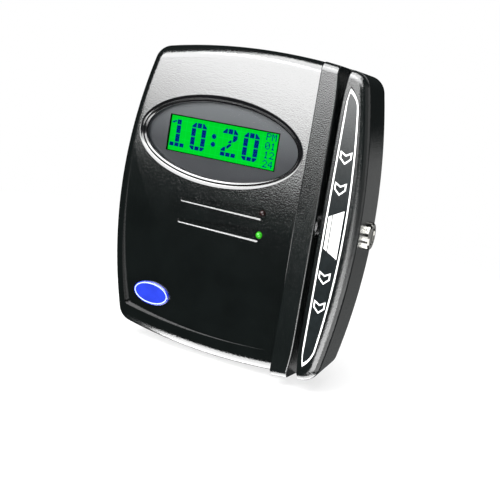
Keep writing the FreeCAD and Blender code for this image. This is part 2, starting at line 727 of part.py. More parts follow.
def slot_base():
    """Floor of the slot: a rib between guide and rail on a flange screwed behind them."""
    web, thick, fit = S.web_depth.value, S.base_thick.value, S.base_fit.value
    left, right = SLOT_LEFT.value + fit, SLOT_RIGHT.value - fit
    block = reader_block(0)
    rib = block.common(slab((left, right), (-FAR, SLOT_FLOOR.value), (-FAR, FAR)))
    rib = rib.cut(reader_block(S.wall.value).common(slab((-FAR, FAR), (-FAR, web), (-FAR, FAR))))
    x0, x1 = S.slot_x.value - S.base_left.value, S.slot_x.value + S.base_right.value
    inside = reader_block(S.wall.value + S.base_end_gap.value)
    flange = inside.common(slab((x0, x1), (web - thick, web), (-FAR, FAR)))
    notch_half = S.base_notch_half.value
    notch = slab((x1 - S.base_notch.value, FAR), (0, FAR), (-notch_half, notch_half))
    flange = flange.cut(notch)
    holes = [post(x, z, S.small_screw_radius.value, 0, web)
             for x, z in map(numbers, reader_screw_places())]
    return rib.fuse(flange).cut(holes)


def decal_prism(shrink, back, front):
    """The leaf outline of the rail's decal, from one depth to another."""
    left = S.slot_x.value + S.decal_left.value + shrink
    top, bottom = S.decal_top.value, S.decal_bottom.value
    tip = left - shrink + S.decal_tip_in.value
    right = left + S.decal_wide.value - 2 * shrink
    belly = left + S.decal_belly.value - 2 * shrink

    def at(x, z):
        return V(x, -back, z)

    def bulge(a, b, x_out):
        """An arc between two points that bows out in X."""
        middle = (a + b) * 0.5
        return Part.Arc(a, V(middle.x + x_out, middle.y, middle.z), b).toShape()

    tip_top = at(tip, S.decal_tip_top.value - 2 * shrink)
    tip_bottom = at(tip, S.decal_tip_bottom.value + 2 * shrink)
    sweep = S.decal_tip_in.value / 2
    face = Part.Face(Part.Wire([
        Part.makeLine(at(left, bottom), at(left, top)),
        bulge(at(left, top), tip_top, -sweep / 4),
        bulge(tip_top, at(right, top), sweep),
        Part.Arc(at(right, top), at(belly, S.decal_belly_z.value), at(right, bottom)).toShape(),
        bulge(at(right, bottom), tip_bottom, sweep),
        bulge(tip_bottom, at(left, bottom), -sweep / 4),
    ]))
    return face.extrude(V(0, back - front, 0))


# Wall plate


def wall_plate():
    """Flat plate that is screwed to the wall and carries the hinge and the keeper."""
    thick, inset = S.plate_thick.value, S.wall.value + S.plate_gap.value
    plate = Part.Face(outline(0, inset)).extrude(V(0, -thick, 0))
    upright = [e for e in plate.Edges if e.BoundBox.YLength > thick / 2]
    plate = plate.makeFillet(S.corner_radius.value - inset, upright)
    plate = plate.cut(beyond_x(S.hinge_x.value + S.plate_swing_gap.value, -1))
    low, high = -S.rib_half.value, S.rib_half.value
    ribs = [
        slab((x - S.rib_thick.value / 2, x + S.rib_thick.value / 2),
             (0, thick + S.rib_tall.value), (low, high))
        for x in (-S.rib_x.value, S.rib_x.value)
    ]
    knuckles = hinge_barrels(plate_knuckle_spans(), S.knuckle_radius.value)
    reach = S.hinge_x.value + S.plate_swing_gap.value + S.wall.value
    webs = [
        slab((S.hinge_x.value, reach), (thick, thick + S.web_thick.value), span)
        for span in plate_knuckle_spans()
    ]
    feet = [
        slab((S.hinge_x.value + S.plate_swing_gap.value, reach), (0, thick), span)
        for span in plate_knuckle_spans()
    ]
    plate = plate.fuse(ribs + knuckles + webs + feet)
    holes = hinge_barrels(pin_spans(), S.pin_radius.value + S.pin_fit.value)
    for x in (-S.wall_screw_across.value / 2, S.wall_screw_across.value / 2):
        for z in (-S.wall_screw_up.value / 2, S.wall_screw_up.value / 2):
            holes.append(post(x, z, S.wall_screw_radius.value, -1, FAR))
            sink = thick - S.wall_screw_sink_deep.value
            holes.append(post(x, z, S.wall_screw_sink.value, sink, FAR))
    x, z = S.cable_x.value, S.cable_z.value
    opening = slab((x - S.cable_wide.value / 2, x + S.cable_wide.value / 2), (-1, FAR),
                   (z - S.cable_tall.value / 2, z + S.cable_tall.value / 2))
    corners = [e for e in opening.Edges if e.BoundBox.YLength > thick]
    holes.append(opening.makeFillet(S.cable_corner.value, corners))
    for x, z in map(numbers, keeper_screw_places()):
        holes.append(post(x, z, S.screw_radius.value, thick - S.keeper_screw_deep.value, FAR))
    return plate.cut(holes)


def feature(label, shape):
    """A sub-part whose curved shape is worked out here from the sheet's sizes."""
    thing = DOC.addObject("Part::Feature", label)
    thing.Shape = shape
    return node(label, thing)


# Document objects bound to the sheet


def block(label, x, depth, z):
    """A Part box between two values each in X, in depth and in Z."""
    box = DOC.addObject("Part::Box", label)
    bind(box, "Length", formula(x[1]) - x[0])
    bind(box, "Width", formula(depth[1]) - depth[0])
    bind(box, "Height", formula(z[1]) - z[0])
    bind(box, "Placement.Base.x", x[0])
    bind(box, "Placement.Base.y", -formula(depth[1]))
    bind(box, "Placement.Base.z", z[0])
    return box


TURNS = {
    "depth": FreeCAD.Rotation(V(1, 0, 0), -90),
    "x": FreeCAD.Rotation(V(0, 1, 0), 90),
    "z": FreeCAD.Rotation(),
}


def rod(label, radius, long, along, x, depth, z):
    """A Part cylinder. It starts at X, depth, Z and runs towards the wall, right or up."""
    bar = DOC.addObject("Part::Cylinder", label)
    bar.Placement = FreeCAD.Placement(V(0, 0, 0), TURNS[along])
    bind(bar, "Radius", radius)
    bind(bar, "Height", long)
    bind(bar, "Placement.Base.x", x)
    bind(bar, "Placement.Base.y", -formula(depth))
    bind(bar, "Placement.Base.z", z)
    return bar


def cut(label, base, tool):
    result = DOC.addObject("Part::Cut", label)
    result.Base = base
    result.Tool = tool
    return result


def join(label, pieces):
    result = DOC.addObject("Part::MultiFuse", label)
    result.Shapes = pieces
    return result


def new_body(label):
    body = DOC.addObject("PartDesign::Body", label)
    return node(label, body)


def sketch_on(body, name, role, offset):
    """A sketch on one of the body's own origin planes, moved along its normal."""
    plane = next(f for f in body.Origin.OriginFeatures if f.Role == role)
    sketch = body.newObject("Sketcher::SketchObject", name)
    sketch.AttachmentSupport = [(plane, "")]
    sketch.MapMode = "FlatFace"
    bind(sketch, "AttachmentOffset.Base.z", offset)
    return sketch


def dimension(sketch, kind, places, size):
    constraint = Sketcher.Constraint(kind, *places, formula(size).value)
    number = sketch.addConstraint(constraint)
    bind(sketch, f"Constraints[{number}]", size)


def polygon(sketch, corners):
    """A closed run of lines with every corner dimensioned from the origin."""
    points = [V(formula(x).value, formula(y).value, 0) for x, y in corners]
    first = len(sketch.Geometry)
    count = len(points)
    for i, point in enumerate(points):
        sketch.addGeometry(Part.LineSegment(point, points[(i + 1) % count]), False)
    for i in range(count):
        after = first + (i + 1) % count
        sketch.addConstraint(Sketcher.Constraint("Coincident", first + i, 2, after, 1))
    for i, (x, y) in enumerate(corners):
        dimension(sketch, "DistanceX", (-1, 1, first + i, 1), x)
        dimension(sketch, "DistanceY", (-1, 1, first + i, 1), y)


def rectangle(sketch, x, y):
    polygon(sketch, [(x[0], y[0]), (x[1], y[0]), (x[1], y[1]), (x[0], y[1])])


def circle(sketch, x, y, radius):
    middle = V(formula(x).value, formula(y).value, 0)
    shape = Part.Circle(middle, V(0, 0, 1), formula(radius).value)
    number = sketch.addGeometry(shape, False)
    dimension(sketch, "DistanceX", (-1, 1, number, 3), x)
    dimension(sketch, "DistanceY", (-1, 1, number, 3), y)
    dimension(sketch, "Radius", (number,), radius)


def pad(body, sketch, long):
    """Thicken a sketch along its plane's normal."""
    solid = body.newObject("PartDesign::Pad", sketch.Name + "_pad")
    solid.Profile = sketch
    bind(solid, "Length", long)
    sketch.Visibility = False
    body.Tip = solid
    return solid


def centred(middle, size):
    """Lower and upper limit of a size about its middle."""
    return formula(middle) - formula(size) / 2, formula(middle) + formula(size) / 2


def circuit_board(label, x, z, back, thick, holes):
    """A flat board square to the wall, with round holes."""
    body = new_body(label)
    sketch = sketch_on(body, label + "_outline", "XZ_Plane", back)
    rectangle(sketch, x, z)
    for hole_x, hole_z, radius in holes:
        circle(sketch, hole_x, hole_z, radius)
    pad(body, sketch, thick)


def screws(label, places, seat, radius, long, head_radius, head):
    """Identical screws driven from the wall side, as separate solids in one node."""
    pieces = []
    for i, (x, z) in enumerate(places):
        pieces.append(join(f"{label}_{i}", [
            rod(f"{label}_shank_{i}", radius, long, "depth", x, formula(seat) + long, z),
            rod(f"{label}_head_{i}", head_radius, head, "depth", x, seat, z),
        ]))
    node(label, join(label, pieces))


def turned(label, profile, placement):
    """A body turned about its local X axis from a half profile of (along, radius)."""
    body = new_body(label)
    sketch = sketch_on(body, label + "_profile", "XY_Plane", 0)
    polygon(sketch, profile)
    solid = body.newObject("PartDesign::Revolution", label + "_turn")
    solid.Profile = sketch
    solid.ReferenceAxis = (sketch, ["H_Axis"])
    solid.Angle = 360
    body.Tip = solid
    body.Placement = placement
    return body


def ellipse_plate(label, half_wide, half_tall, back, thick):
    """An elliptical plate about the middle of the display."""
    curve = DOC.addObject("Part::Ellipse", label + "_curve")
    curve.Placement = FreeCAD.Placement(V(0, 0, 0), FreeCAD.Rotation(V(1, 0, 0), 90))
    bind(curve, "MajorRadius", half_wide)
    bind(curve, "MinorRadius", half_tall)
    bind(curve, "Placement.Base.x", S.display_x)
    bind(curve, "Placement.Base.y", -formula(back))
    bind(curve, "Placement.Base.z", S.display_z)
    solid = DOC.addObject("Part::Extrusion", label)
    solid.Base = curve
    solid.DirMode = "Custom"
    solid.Dir = V(0, -1, 0)
    bind(solid, "LengthFwd", thick)
    solid.Solid = True
    return solid


# Display


def display_parts():
    ledge = S.lens_ledge - BEZEL_INNER
    wide, tall = S.bezel_half_wide + ledge, S.bezel_half_tall + ledge
    node("display_lens", ellipse_plate("display_lens", wide, tall, LENS_BACK, S.lens_thick))
    film_back = LENS_BACK - S.film_thick
    film = ellipse_plate("lens_film_blank", wide, tall, film_back, S.film_thick)
    window = block(
        "lens_film_window", centred(S.display_x, S.window_wide),
        (film_back - S.wall, LENS_BACK + S.wall), centred(S.display_z, S.window_tall),
    )
    node("lens_film", cut("lens_film", film, window))

    front, wall = S.lcd_front, S.lcd_frame_wall
    x, z = S.display_x, S.display_z
    outer = block("lcd_can", centred(x, S.lcd_frame_wide), (LCD_BOARD_FRONT, front),
                  centred(z, S.lcd_frame_tall))
    inner = block("lcd_can_space", centred(x, S.lcd_frame_wide - 2 * wall),
                  (LCD_BOARD_FRONT - wall, front - wall), centred(z, S.lcd_frame_tall - 2 * wall))
    view = block("lcd_can_view", centred(x, S.view_wide), (front - 2 * wall, front + wall),
                 centred(z, S.view_tall))
    node("lcd_frame", cut("lcd_frame", outer, join("lcd_can_openings", [inner, view])))

    glass_front = front - wall - S.lcd_stack_gap
    glass_back = glass_front - S.glass_thick
    node("lcd_glass", block("lcd_glass", centred(x, S.glass_wide), (glass_back, glass_front),
                            centred(z, S.glass_tall)))
    light_front = glass_back - S.lcd_stack_gap
    light_back = light_front - S.light_thick
    node("lcd_backlight", block("lcd_backlight", centred(x, S.glass_wide),
                                (light_back, light_front), centred(z, S.glass_tall)))
    holes = [(hx, hz, S.small_screw_radius) for hx, hz in lcd_holes()]
    circuit_board("lcd_board", centred(x, S.lcd_board_wide), centred(z, S.lcd_board_tall),
                  LCD_BOARD_BACK, S.board_thick, holes)
    screws("lcd_screws", lcd_holes(), LCD_BOARD_BACK, S.small_screw_radius,
           S.small_screw_long, S.small_head_radius, S.small_head)
    top = z + S.lcd_board_tall / 2 - S.lcd_header_drop
    node("lcd_header", block(
        "lcd_header", centred(x, S.lcd_header_long),
        (BOARD_FRONT + S.header_gap, LCD_BOARD_BACK - S.header_gap), (top - S.header_thick, top),
    ))


# Main board


def main_board_parts():
    back = S.board_back
    holes = [(x, z, S.screw_radius) for x, z in board_holes()]
    circuit_board("main_board", (S.board_left, S.board_right),
                  (-S.board_half_tall, S.board_half_tall), back, S.board_thick, holes)
    screws("board_screws", board_holes(), back, S.screw_radius, S.screw_long,
           S.screw_head_radius, S.screw_head)
    node("processor_chip", block(
        "processor_chip", centred(S.processor_x, S.processor_side),
        (back - S.chip_thick, back), centred(S.processor_z, S.processor_side)))
    chips = [
        block(f"memory_chip_{i}", centred(S.memory_x, S.memory_wide), (back - S.chip_thick, back),
              centred(S.memory_z - i * S.memory_pitch, S.memory_tall))
        for i in range(2)
    ]
    node("memory_chips", join("memory_chips", chips))
    cans = [
        rod(f"capacitor_{i}", S.capacitor_radius, S.capacitor_tall, "depth",
            S.capacitor_x, back, S.capacitor_z + i * S.capacitor_pitch)
        for i in range(3)
    ]
    node("capacitors", join("capacitors", cans))
    sounder = rod("buzzer_can", S.buzzer_radius, S.buzzer_tall, "depth",
                  S.buzzer_x, back, S.buzzer_z)
    port = rod("buzzer_port", S.buzzer_port, S.buzzer_tall, "depth",
               S.buzzer_x, back - S.holder_wall, S.buzzer_z)
    node("buzzer", cut("buzzer", sounder, port))

    x, z, fit = S.cell_x, S.cell_z, S.cell_fit
    floor = back - S.holder_floor
    tray = rod("holder_tray", S.cell_radius + fit + S.holder_wall,
               S.holder_floor + S.cell_thick, "depth", x, back, z)
    pocket = rod("holder_pocket", S.cell_radius + fit, S.cell_thick + fit, "depth", x, floor, z)
    thumb = block("holder_thumb", centred(x, S.cell_radius), (floor - 2 * S.cell_thick, floor),
                  (z + S.cell_radius / 2, z + 2 * S.cell_radius))
    node("battery_holder", cut("battery_holder", tray, join("holder_space", [pocket, thumb])))
    node("backup_battery", rod("backup_battery", S.cell_radius, S.cell_thick - fit, "depth",
                               x, floor, z))
    jacks()


def jacks():
    """Network and power sockets on the wall side of the board, open downwards."""
    back, wall = S.board_back, S.network_wall
    top, low = S.network_top, S.network_top - S.network_long
    shell = block("network_jack_shell", centred(S.network_x, S.network_wide),
                  (back - S.network_tall, back), (low, top))
    space = block(
        "network_jack_space", centred(S.network_x, S.network_wide - 2 * wall),
        (back - wall - S.network_socket_tall, back - wall),
        (low - wall, low + S.network_socket_deep),
    )
    node("network_jack", cut("network_jack", shell, space))

    low = S.power_top - S.power_long
    depth = back - S.power_tall / 2
    shell = block("power_jack_shell", centred(S.power_x, S.power_wide),
                  (back - S.power_tall, back), (low, S.power_top))
    bore = rod("power_jack_bore", S.power_bore_radius, S.power_bore_deep + wall, "z",
               S.power_x, depth, low - wall)
    pin = rod("power_jack_pin", S.power_pin_radius, S.power_bore_deep + wall, "z",
              S.power_x, depth, low + wall / 2)
    node("power_jack", join("power_jack", [cut("power_jack_bored", shell, bore), pin]))


# Status lights


def status_light_parts():
    x, z = led_board_middle()
    holes = [(hx, hz, S.small_screw_radius) for hx, hz in led_board_holes()]
    circuit_board("led_board", centred(x, S.led_board_wide), centred(z, S.led_board_tall),
                  S.led_board_depth, S.board_thick, holes)
    screws("led_board_screws", led_board_holes(), S.led_board_depth, S.small_screw_radius,
           S.small_screw_long, S.small_head_radius, S.small_head)
    header_x = x + S.led_header_side
    node("led_header", block(
        "led_header", centred(header_x, S.header_thick),
        (BOARD_FRONT + S.header_gap, S.led_board_depth - S.header_gap),
        (z - S.led_board_tall / 2, z - S.led_board_tall / 2 + S.led_header_long),
    ))
    turn = FreeCAD.Rotation(V(0, 0, 1), -90)
    base = LED_BOARD_FRONT.value
    face = face_depth(S.led_x.value, S.led_z.value) - S.groove_deep.value
    flange = led_seat() - base
    barrel = face + S.led_proud.value - base
    small, big = S.led_radius.value, S.led_flange.value
    for name, (led_x, led_z) in zip(("status_led_upper", "status_led_lower"), led_places()):
        arc = [(barrel - small * (1 - math.sin(a)), small * math.cos(a))
               for a in [math.pi / 12 * k for k in range(6)]]
        profile = [(0, 0), (0, big), (flange, big), (flange, small)] + arc + [(barrel, 0)]
        turned(name, profile, FreeCAD.Placement(V(led_x, -base, led_z), turn))


# Badge


def badge():
    """Oval badge, a domed plate that lies along the apron."""
    up, across, apron_x, apron_z, depth = apron_shape()
    x, z = S.badge_x.value, S.badge_rise.value - S.case_tall.value / 2
    tilt_x, tilt_z = -(x - apron_x) / across, -(z - apron_z) / up
    surface = depth - (x - apron_x) ** 2 / (2 * across) - (z - apron_z) ** 2 / (2 * up)
    outward = V(-tilt_x, -1, -tilt_z)
    face = Part.Face(Part.Wire([
        Part.Ellipse(V(0, 0, 0), S.badge_half_wide.value, S.badge_half_tall.value).toShape()
    ]))
    solid = face.extrude(V(0, 0, S.badge_thick.value))
    rim = [e for e in solid.Edges if e.BoundBox.ZMin > S.badge_thick.value / 2]
    solid = solid.makeFillet(S.badge_round.value, rim)
    thing = feature("badge", solid)
    upright = FreeCAD.Rotation(V(1, 0, 0), 90)
    lean = FreeCAD.Rotation(V(0, -1, 0), outward)
    place = V(x, -(surface + S.badge_lift.value), z)
    thing.Placement = FreeCAD.Placement(place, lean.multiply(upright))


# Read head


def read_head_parts():
    back = SLOT_LEFT - S.head_back
    nose = SLOT_LEFT + S.head_proud
    depth = centred(S.head_depth, S.head_tall)
    core = block("head_core", (back, nose), depth, (-S.head_half_long, S.head_half_long))
    crown = rod("head_crown", S.head_crown_radius, S.head_tall, "depth",
                nose - S.head_crown_radius, depth[1], 0)
    tail = block("head_tail", (back, nose - S.head_crown_radius / 2), depth,
                 (-S.head_half_long, S.head_half_long))
    rounded = DOC.addObject("Part::Common", "head_rounded")
    rounded.Base = core
    rounded.Tool = join("head_limits", [crown, tail])
    stop_front = SLOT_LEFT - S.guide_wall - S.head_stop_gap
    stop = block("head_stop_plate", (stop_front - S.head_stop, stop_front), depth,
                 (-S.head_stop_half, S.head_stop_half))
    node("read_head", join("read_head", [rounded, stop]))

    # The leaf spring arches from the guide's side wall to the back of the head
    wall_x = SEAM_RIGHT + S.guide_wall
    thick, half, foot = S.spring_thick, S.spring_half_long, S.spring_foot
    rest = S.head_half_long
    body = new_body("head_spring")
    leaf_back = S.head_depth - S.spring_leaf / 2
    sketch = sketch_on(body, "head_spring_profile", "XZ_Plane", leaf_back)
    polygon(sketch, [
        (wall_x, -half), (wall_x, -half + foot), (back - thick, -rest + foot),
        (back - thick, rest - foot), (wall_x, half - foot), (wall_x, half),
        (wall_x + thick, half), (wall_x + thick, half - foot + thick), (back, rest - foot + thick),
        (back, -rest + foot - thick), (wall_x + thick, -half + foot - thick),
        (wall_x + thick, -half),
    ])
    pad(body, sketch, S.spring_leaf)

    board_x = wall_x + S.reader_board_gap
    board_face = board_x + S.reader_board_thick
    z = centred(S.reader_board_z, 2 * S.reader_board_half)
    node("reader_board", block("reader_board", (board_x, board_face),
                               (S.reader_board_low, S.reader_board_high), z))
    middle = (S.reader_board_low + S.reader_board_high) / 2
    node("reader_chip", block(
        "reader_chip", (board_face, board_face + S.reader_chip_thick),
        centred(middle, 2 * S.reader_chip_half),
        centred(S.reader_board_z, 2 * S.reader_chip_half)))
    node("head_flex", block(
        "head_flex", (board_face, board_face + S.flex_thick), (S.flex_low, S.flex_high),
        (S.flex_start, S.reader_board_z - S.reader_chip_half - S.flex_thick)))

    # A flat ribbon runs from the reader board to the main board's edge
    body = new_body("reader_ribbon")
    sketch = sketch_on(body, "reader_ribbon_path", "XY_Plane", S.reader_board_z - S.ribbon_half)
    thick = S.ribbon_thick
    far = board_x + thick
    polygon(sketch, [
        (S.board_right, -BOARD_FRONT), (S.board_right - thick, -BOARD_FRONT),
        (S.board_right - thick, -S.ribbon_depth - thick), (board_x, -S.ribbon_depth - thick),
        (board_x, -S.reader_board_low), (far, -S.reader_board_low), (far, -S.ribbon_depth),
        (S.board_right, -S.ribbon_depth),
    ])
    pad(body, sketch, 2 * S.ribbon_half)


# Lock and keeper


def lock_parts():
    frame = lock_frame()
    face, big, edge = S.lock_face, S.lock_face_radius, S.lock_face_round
    bore = S.plug_radius + S.plug_fit
    long = S.lock_barrel
    turned("lock_cylinder", [
        (-long, bore), (-long, S.lock_barrel_radius), (0, S.lock_barrel_radius), (0, big),
        (face - edge, big), (face, big - edge), (face, bore + edge), (face - edge, bore),
    ], frame)

    plug = turned("lock_plug", [
        (-long, 0), (-long, S.plug_radius), (face - S.plug_sink, S.plug_radius),
        (face - S.plug_sink, 0),
    ], frame)
    slot = sketch_on(plug, "key_slot", "XY_Plane", -S.key_tall / 2)
    rectangle(slot, (face - S.key_deep, face), centred(0, S.key_wide))
    pocket = plug.newObject("PartDesign::Pocket", "key_slot_cut")
    pocket.Profile = slot
    pocket.Reversed = True
    bind(pocket, "Length", S.key_tall)
    hole = sketch_on(plug, "cam_thread", "YZ_Plane", -long)
    circle(hole, 0, 0, S.cam_screw_radius)
    thread = plug.newObject("PartDesign::Pocket", "cam_thread_cut")
    thread.Profile = hole
    thread.Reversed = True
    bind(thread, "Length", S.cam_screw_long)
    plug.Tip = thread

    nut = new_body("lock_nut")
    sketch = sketch_on(nut, "lock_nut_outline", "YZ_Plane", -S.wall - S.nut_fit - S.nut_thick)
    across = S.nut_flats / math.sqrt(3)
    polygon(sketch, [
        (across * math.cos(math.radians(60 * k)), across * math.sin(math.radians(60 * k)))
        for k in range(6)
    ])
    circle(sketch, 0, 0, S.lock_barrel_radius)
    pad(nut, sketch, S.nut_thick)
    nut.Placement = frame

    # The cam points to the wall when unlocked and upwards, behind the keeper, when locked
    cam = new_body("lock_cam")
    cam_back = -long - S.cam_gap - S.cam_thick
    sketch = sketch_on(cam, "lock_cam_outline", "YZ_Plane", cam_back)
    hub, tip = S.cam_hub_radius, S.cam_tip_radius
    polygon(sketch, [
        (-hub / 2, -hub), (tip, -tip), (S.cam_reach - tip / 2, -tip), (S.cam_reach, -tip / 2),
        (S.cam_reach, tip / 2), (S.cam_reach - tip / 2, tip), (tip, tip), (-hub / 2, hub),
        (-hub, hub / 2), (-hub, -hub / 2),
    ])
    circle(sketch, 0, 0, S.cam_screw_radius)
    pad(cam, sketch, S.cam_thick)
    cam.Placement = frame

    radius, head = S.cam_screw_radius, S.cam_screw_head
    end = cam_back - S.cam_screw_head_thick
    turned("cam_screw", [
        (end, 0), (end, head), (cam_back, head), (cam_back, radius),
        (S.cam_screw_long - long, radius), (S.cam_screw_long - long, 0),
    ], frame)


def keeper_top():
    """Depth of the underside of the keeper's tab, clear in front of the turned cam."""
    lean = (S.lock_barrel + S.cam_gap + S.cam_thick) * S.side_slope
    return S.lock_depth + lean + S.cam_tip_radius + S.keeper_gap


def keeper_riser():
    """Z of the riser's face beyond the tip of the turned cam."""
    return S.lock_z + S.cam_reach + S.keeper_reach_gap


def keeper_screw_places():
    z = keeper_riser() + S.keeper_thick + S.keeper_foot / 2
    return [(S.keeper_x, z)]


def keeper():
    """Bent steel strip on the wall plate: foot, riser and the tab that holds the cam."""
    thick, low = S.keeper_thick, S.plate_thick
    under, riser = keeper_top(), keeper_riser()
    far = riser + thick + S.keeper_foot
    body = new_body("cam_keeper")
    sketch = sketch_on(body, "keeper_profile", "YZ_Plane", S.keeper_x - S.keeper_half_wide)
    polygon(sketch, [
        (-low, far), (-low, riser), (-under, riser), (-under, riser + thick - S.keeper_tab),
        (-under - thick, riser + thick - S.keeper_tab), (-under - thick, riser + thick),
        (-low - thick, riser + thick), (-low - thick, far),
    ])
    pad(body, sketch, 2 * S.keeper_half_wide)
    DOC.recompute()
    hole = sketch_on(body, "keeper_hole", "XZ_Plane", low)
    for x, z in keeper_screw_places():
        circle(hole, x, z, S.screw_radius)
    drilled = body.newObject("PartDesign::Pocket", "keeper_hole_cut")
    drilled.Profile = hole
    drilled.Reversed = True
    bind(drilled, "Length", thick)
    body.Tip = drilled
    pieces = []
    for x, z in keeper_screw_places():
        seat = low + thick
        pieces += [
            rod("keeper_screw_head", S.screw_head_radius, S.screw_head, "depth",
                x, seat + S.screw_head, z),
            rod("keeper_screw_shank", S.screw_radius, thick + S.keeper_screw_deep, "depth",
                x, seat, z),
        ]
    node("keeper_screw", join("keeper_screw", pieces))


def seam_screws():
    """Screws along X that hold the guide strip to the cover's seam flange."""
    x = SEAM_LEFT - S.flange_wall
    long = S.flange_wall + S.seam_gap + S.guide_wall
    pieces = []
    for i, z in enumerate(seam_screw_places()):
        pieces.append(join(f"seam_screw_{i}", [
            rod(f"seam_shank_{i}", S.small_screw_radius, long, "x", x, S.seam_screw_depth, z),
            rod(f"seam_head_{i}", S.small_head_radius, S.small_head, "x",
                x - S.small_head, S.seam_screw_depth, z),
        ]))
    node("seam_screws", join("seam_screws", pieces))


def hinge_pins():
    reach = S.knuckle_long / 2 + S.hinge_end_gap + S.cover_knuckle_long
    pins = [
        rod(f"hinge_pin_{i}", S.pin_radius, 2 * reach, "z", S.hinge_x, S.hinge_depth,
            side * S.hinge_z - reach)
        for i, side in enumerate((-1, 1))
    ]
    node("hinge_pins", join("hinge_pins", pins))


# Build every sub-part

feature("wall_plate", wall_plate())
keeper()
hinge_pins()
feature("front_cover", front_cover())
feature("display_bezel", display_bezel())
display_parts()
main_board_parts()
status_light_parts()
badge()
feature("reader_guide", reader_guide())
feature("swipe_rail", swipe_rail())
feature("slot_base", slot_base())
feature("rail_decal", decal_prism(
    S.decal_fit.value, S.case_deep.value - S.decal_thick.value, S.case_deep.value))
screws("reader_screws", reader_screw_places(), S.web_depth - S.base_thick,
       S.small_screw_radius, S.screw_long, S.small_head_radius, S.small_head)
seam_screws()
read_head_parts()
lock_parts()
DOC.recompute()

# Stop with a plain message if anything failed, before any file is written
for thing in DOC.Objects:
    if {"Invalid", "Error"} & set(thing.State):
        raise RuntimeError(f"{thing.Label} failed: {thing.State}")
for label, thing in NODES.items():
    if thing.Shape.isNull() or not thing.Shape.isValid() or not thing.Shape.Solids:
        raise RuntimeError(f"{label} has no valid solid")

os.makedirs("parts", exist_ok=True)
for label, thing in NODES.items():
    thing.Shape.exportStep(f"parts/{label}.step")
    box = thing.Shape.BoundBox
    print(f"{label}: {len(thing.Shape.Solids)} solid, {thing.Shape.Volume:.0f} mm3, "
          f"X {box.XMin:.1f} {box.XMax:.1f}, depth {-box.YMax:.1f} {-box.YMin:.1f}, "
          f"Z {box.ZMin:.1f} {box.ZMax:.1f}")
print(len(NODES), "nodes")
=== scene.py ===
"""Wall-mounted badge-swipe time clock: finish, printed details and studio.

The clock hangs on the wall plane Y = 0 and faces -Y. Sizes of printed and trim pieces are in
millimetres, and their depth is counted from the wall. The studio is in metres.
"""
import math

import bpy
from mathutils import Matrix, Vector


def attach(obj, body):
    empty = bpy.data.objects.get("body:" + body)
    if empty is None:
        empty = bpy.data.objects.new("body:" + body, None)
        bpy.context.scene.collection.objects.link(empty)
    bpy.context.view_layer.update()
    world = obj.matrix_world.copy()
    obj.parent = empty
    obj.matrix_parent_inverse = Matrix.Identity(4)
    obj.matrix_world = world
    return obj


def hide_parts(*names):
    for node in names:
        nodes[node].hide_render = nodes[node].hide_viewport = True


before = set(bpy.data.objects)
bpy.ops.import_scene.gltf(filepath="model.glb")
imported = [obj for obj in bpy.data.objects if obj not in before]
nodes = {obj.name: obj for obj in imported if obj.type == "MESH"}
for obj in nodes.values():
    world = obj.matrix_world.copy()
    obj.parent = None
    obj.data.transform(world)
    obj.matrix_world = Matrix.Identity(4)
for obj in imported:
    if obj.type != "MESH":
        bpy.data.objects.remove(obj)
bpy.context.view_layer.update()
MM = 0.001
bpy.context.scene.view_settings.view_transform = "Standard"


# Materials


class Graph:
    """Short calls for building the nodes of a material or a world."""

    def __init__(self, owner, output):
        owner.use_nodes = True
        self.owner = owner
        self.tree = owner.node_tree
        self.tree.nodes.clear()
        self.output = self.add(output)

    def add(self, kind, **values):
        """A new node with its settings and sockets, where Base_Color means 'Base Color'."""
        node = self.tree.nodes.new(kind)
        for key, value in values.items():
            if hasattr(node, key):
                setattr(node, key, value)
            else:
                node.inputs[key.replace("_", " ")].default_value = value
        return node

    def link(self, source, target):
        self.tree.links.new(source, target)

    def show(self, shader):
        """Make a shader the one that is seen."""
        self.link(shader.outputs[0], self.output.inputs["Surface"])

    def mix(self, factor, first, second):
        """One shader where the factor is 0, another where it is 1."""
        node = self.add("ShaderNodeMixShader")
        self.link(factor, node.inputs["Fac"])
        self.link(first.outputs[0], node.inputs[1])
        self.link(second.outputs[0], node.inputs[2])
        return node


def material_graph(name):
    return Graph(bpy.data.materials.new(name), "ShaderNodeOutputMaterial")


def opaque(colour):
    return (*colour, 1.0)


def place(graph):
    """Places in the piece's own frame, in metres."""
    return graph.add("ShaderNodeTexCoord").outputs["Object"]


def noise(graph, scale, detail=3.0, rough=0.5):
    texture = graph.add("ShaderNodeTexNoise", Scale=scale, Detail=detail, Roughness=rough)
    graph.link(place(graph), texture.inputs["Vector"])
    return texture.outputs["Fac"]


def ramp(graph, source, low, high, start, end):
    """Carry a value's range from low to high over to the one from start to end."""
    node = graph.add("ShaderNodeMapRange", From_Min=low, From_Max=high, To_Min=start, To_Max=end)
    graph.link(source, node.inputs["Value"])
    return node.outputs["Result"]


def blend_colours(graph, factor, first, second):
    mix = graph.add("ShaderNodeMix", data_type="RGBA", A=opaque(first), B=opaque(second))
    graph.link(factor, mix.inputs["Factor"])
    return mix.outputs["Result"]


def bump(graph, shader, height, distance):
    node = graph.add("ShaderNodeBump", Strength=1.0, Distance=distance)
    graph.link(height, node.inputs["Height"])
    graph.link(node.outputs["Normal"], shader.inputs["Normal"])


PATCH_RANGE = (0.3, 0.7)  # the part of the noise that patches of colour and gloss span
GLOSS_PATCH = 2.3  # how much finer the patches of gloss are than those of colour
COAT_ROUGH = 0.08


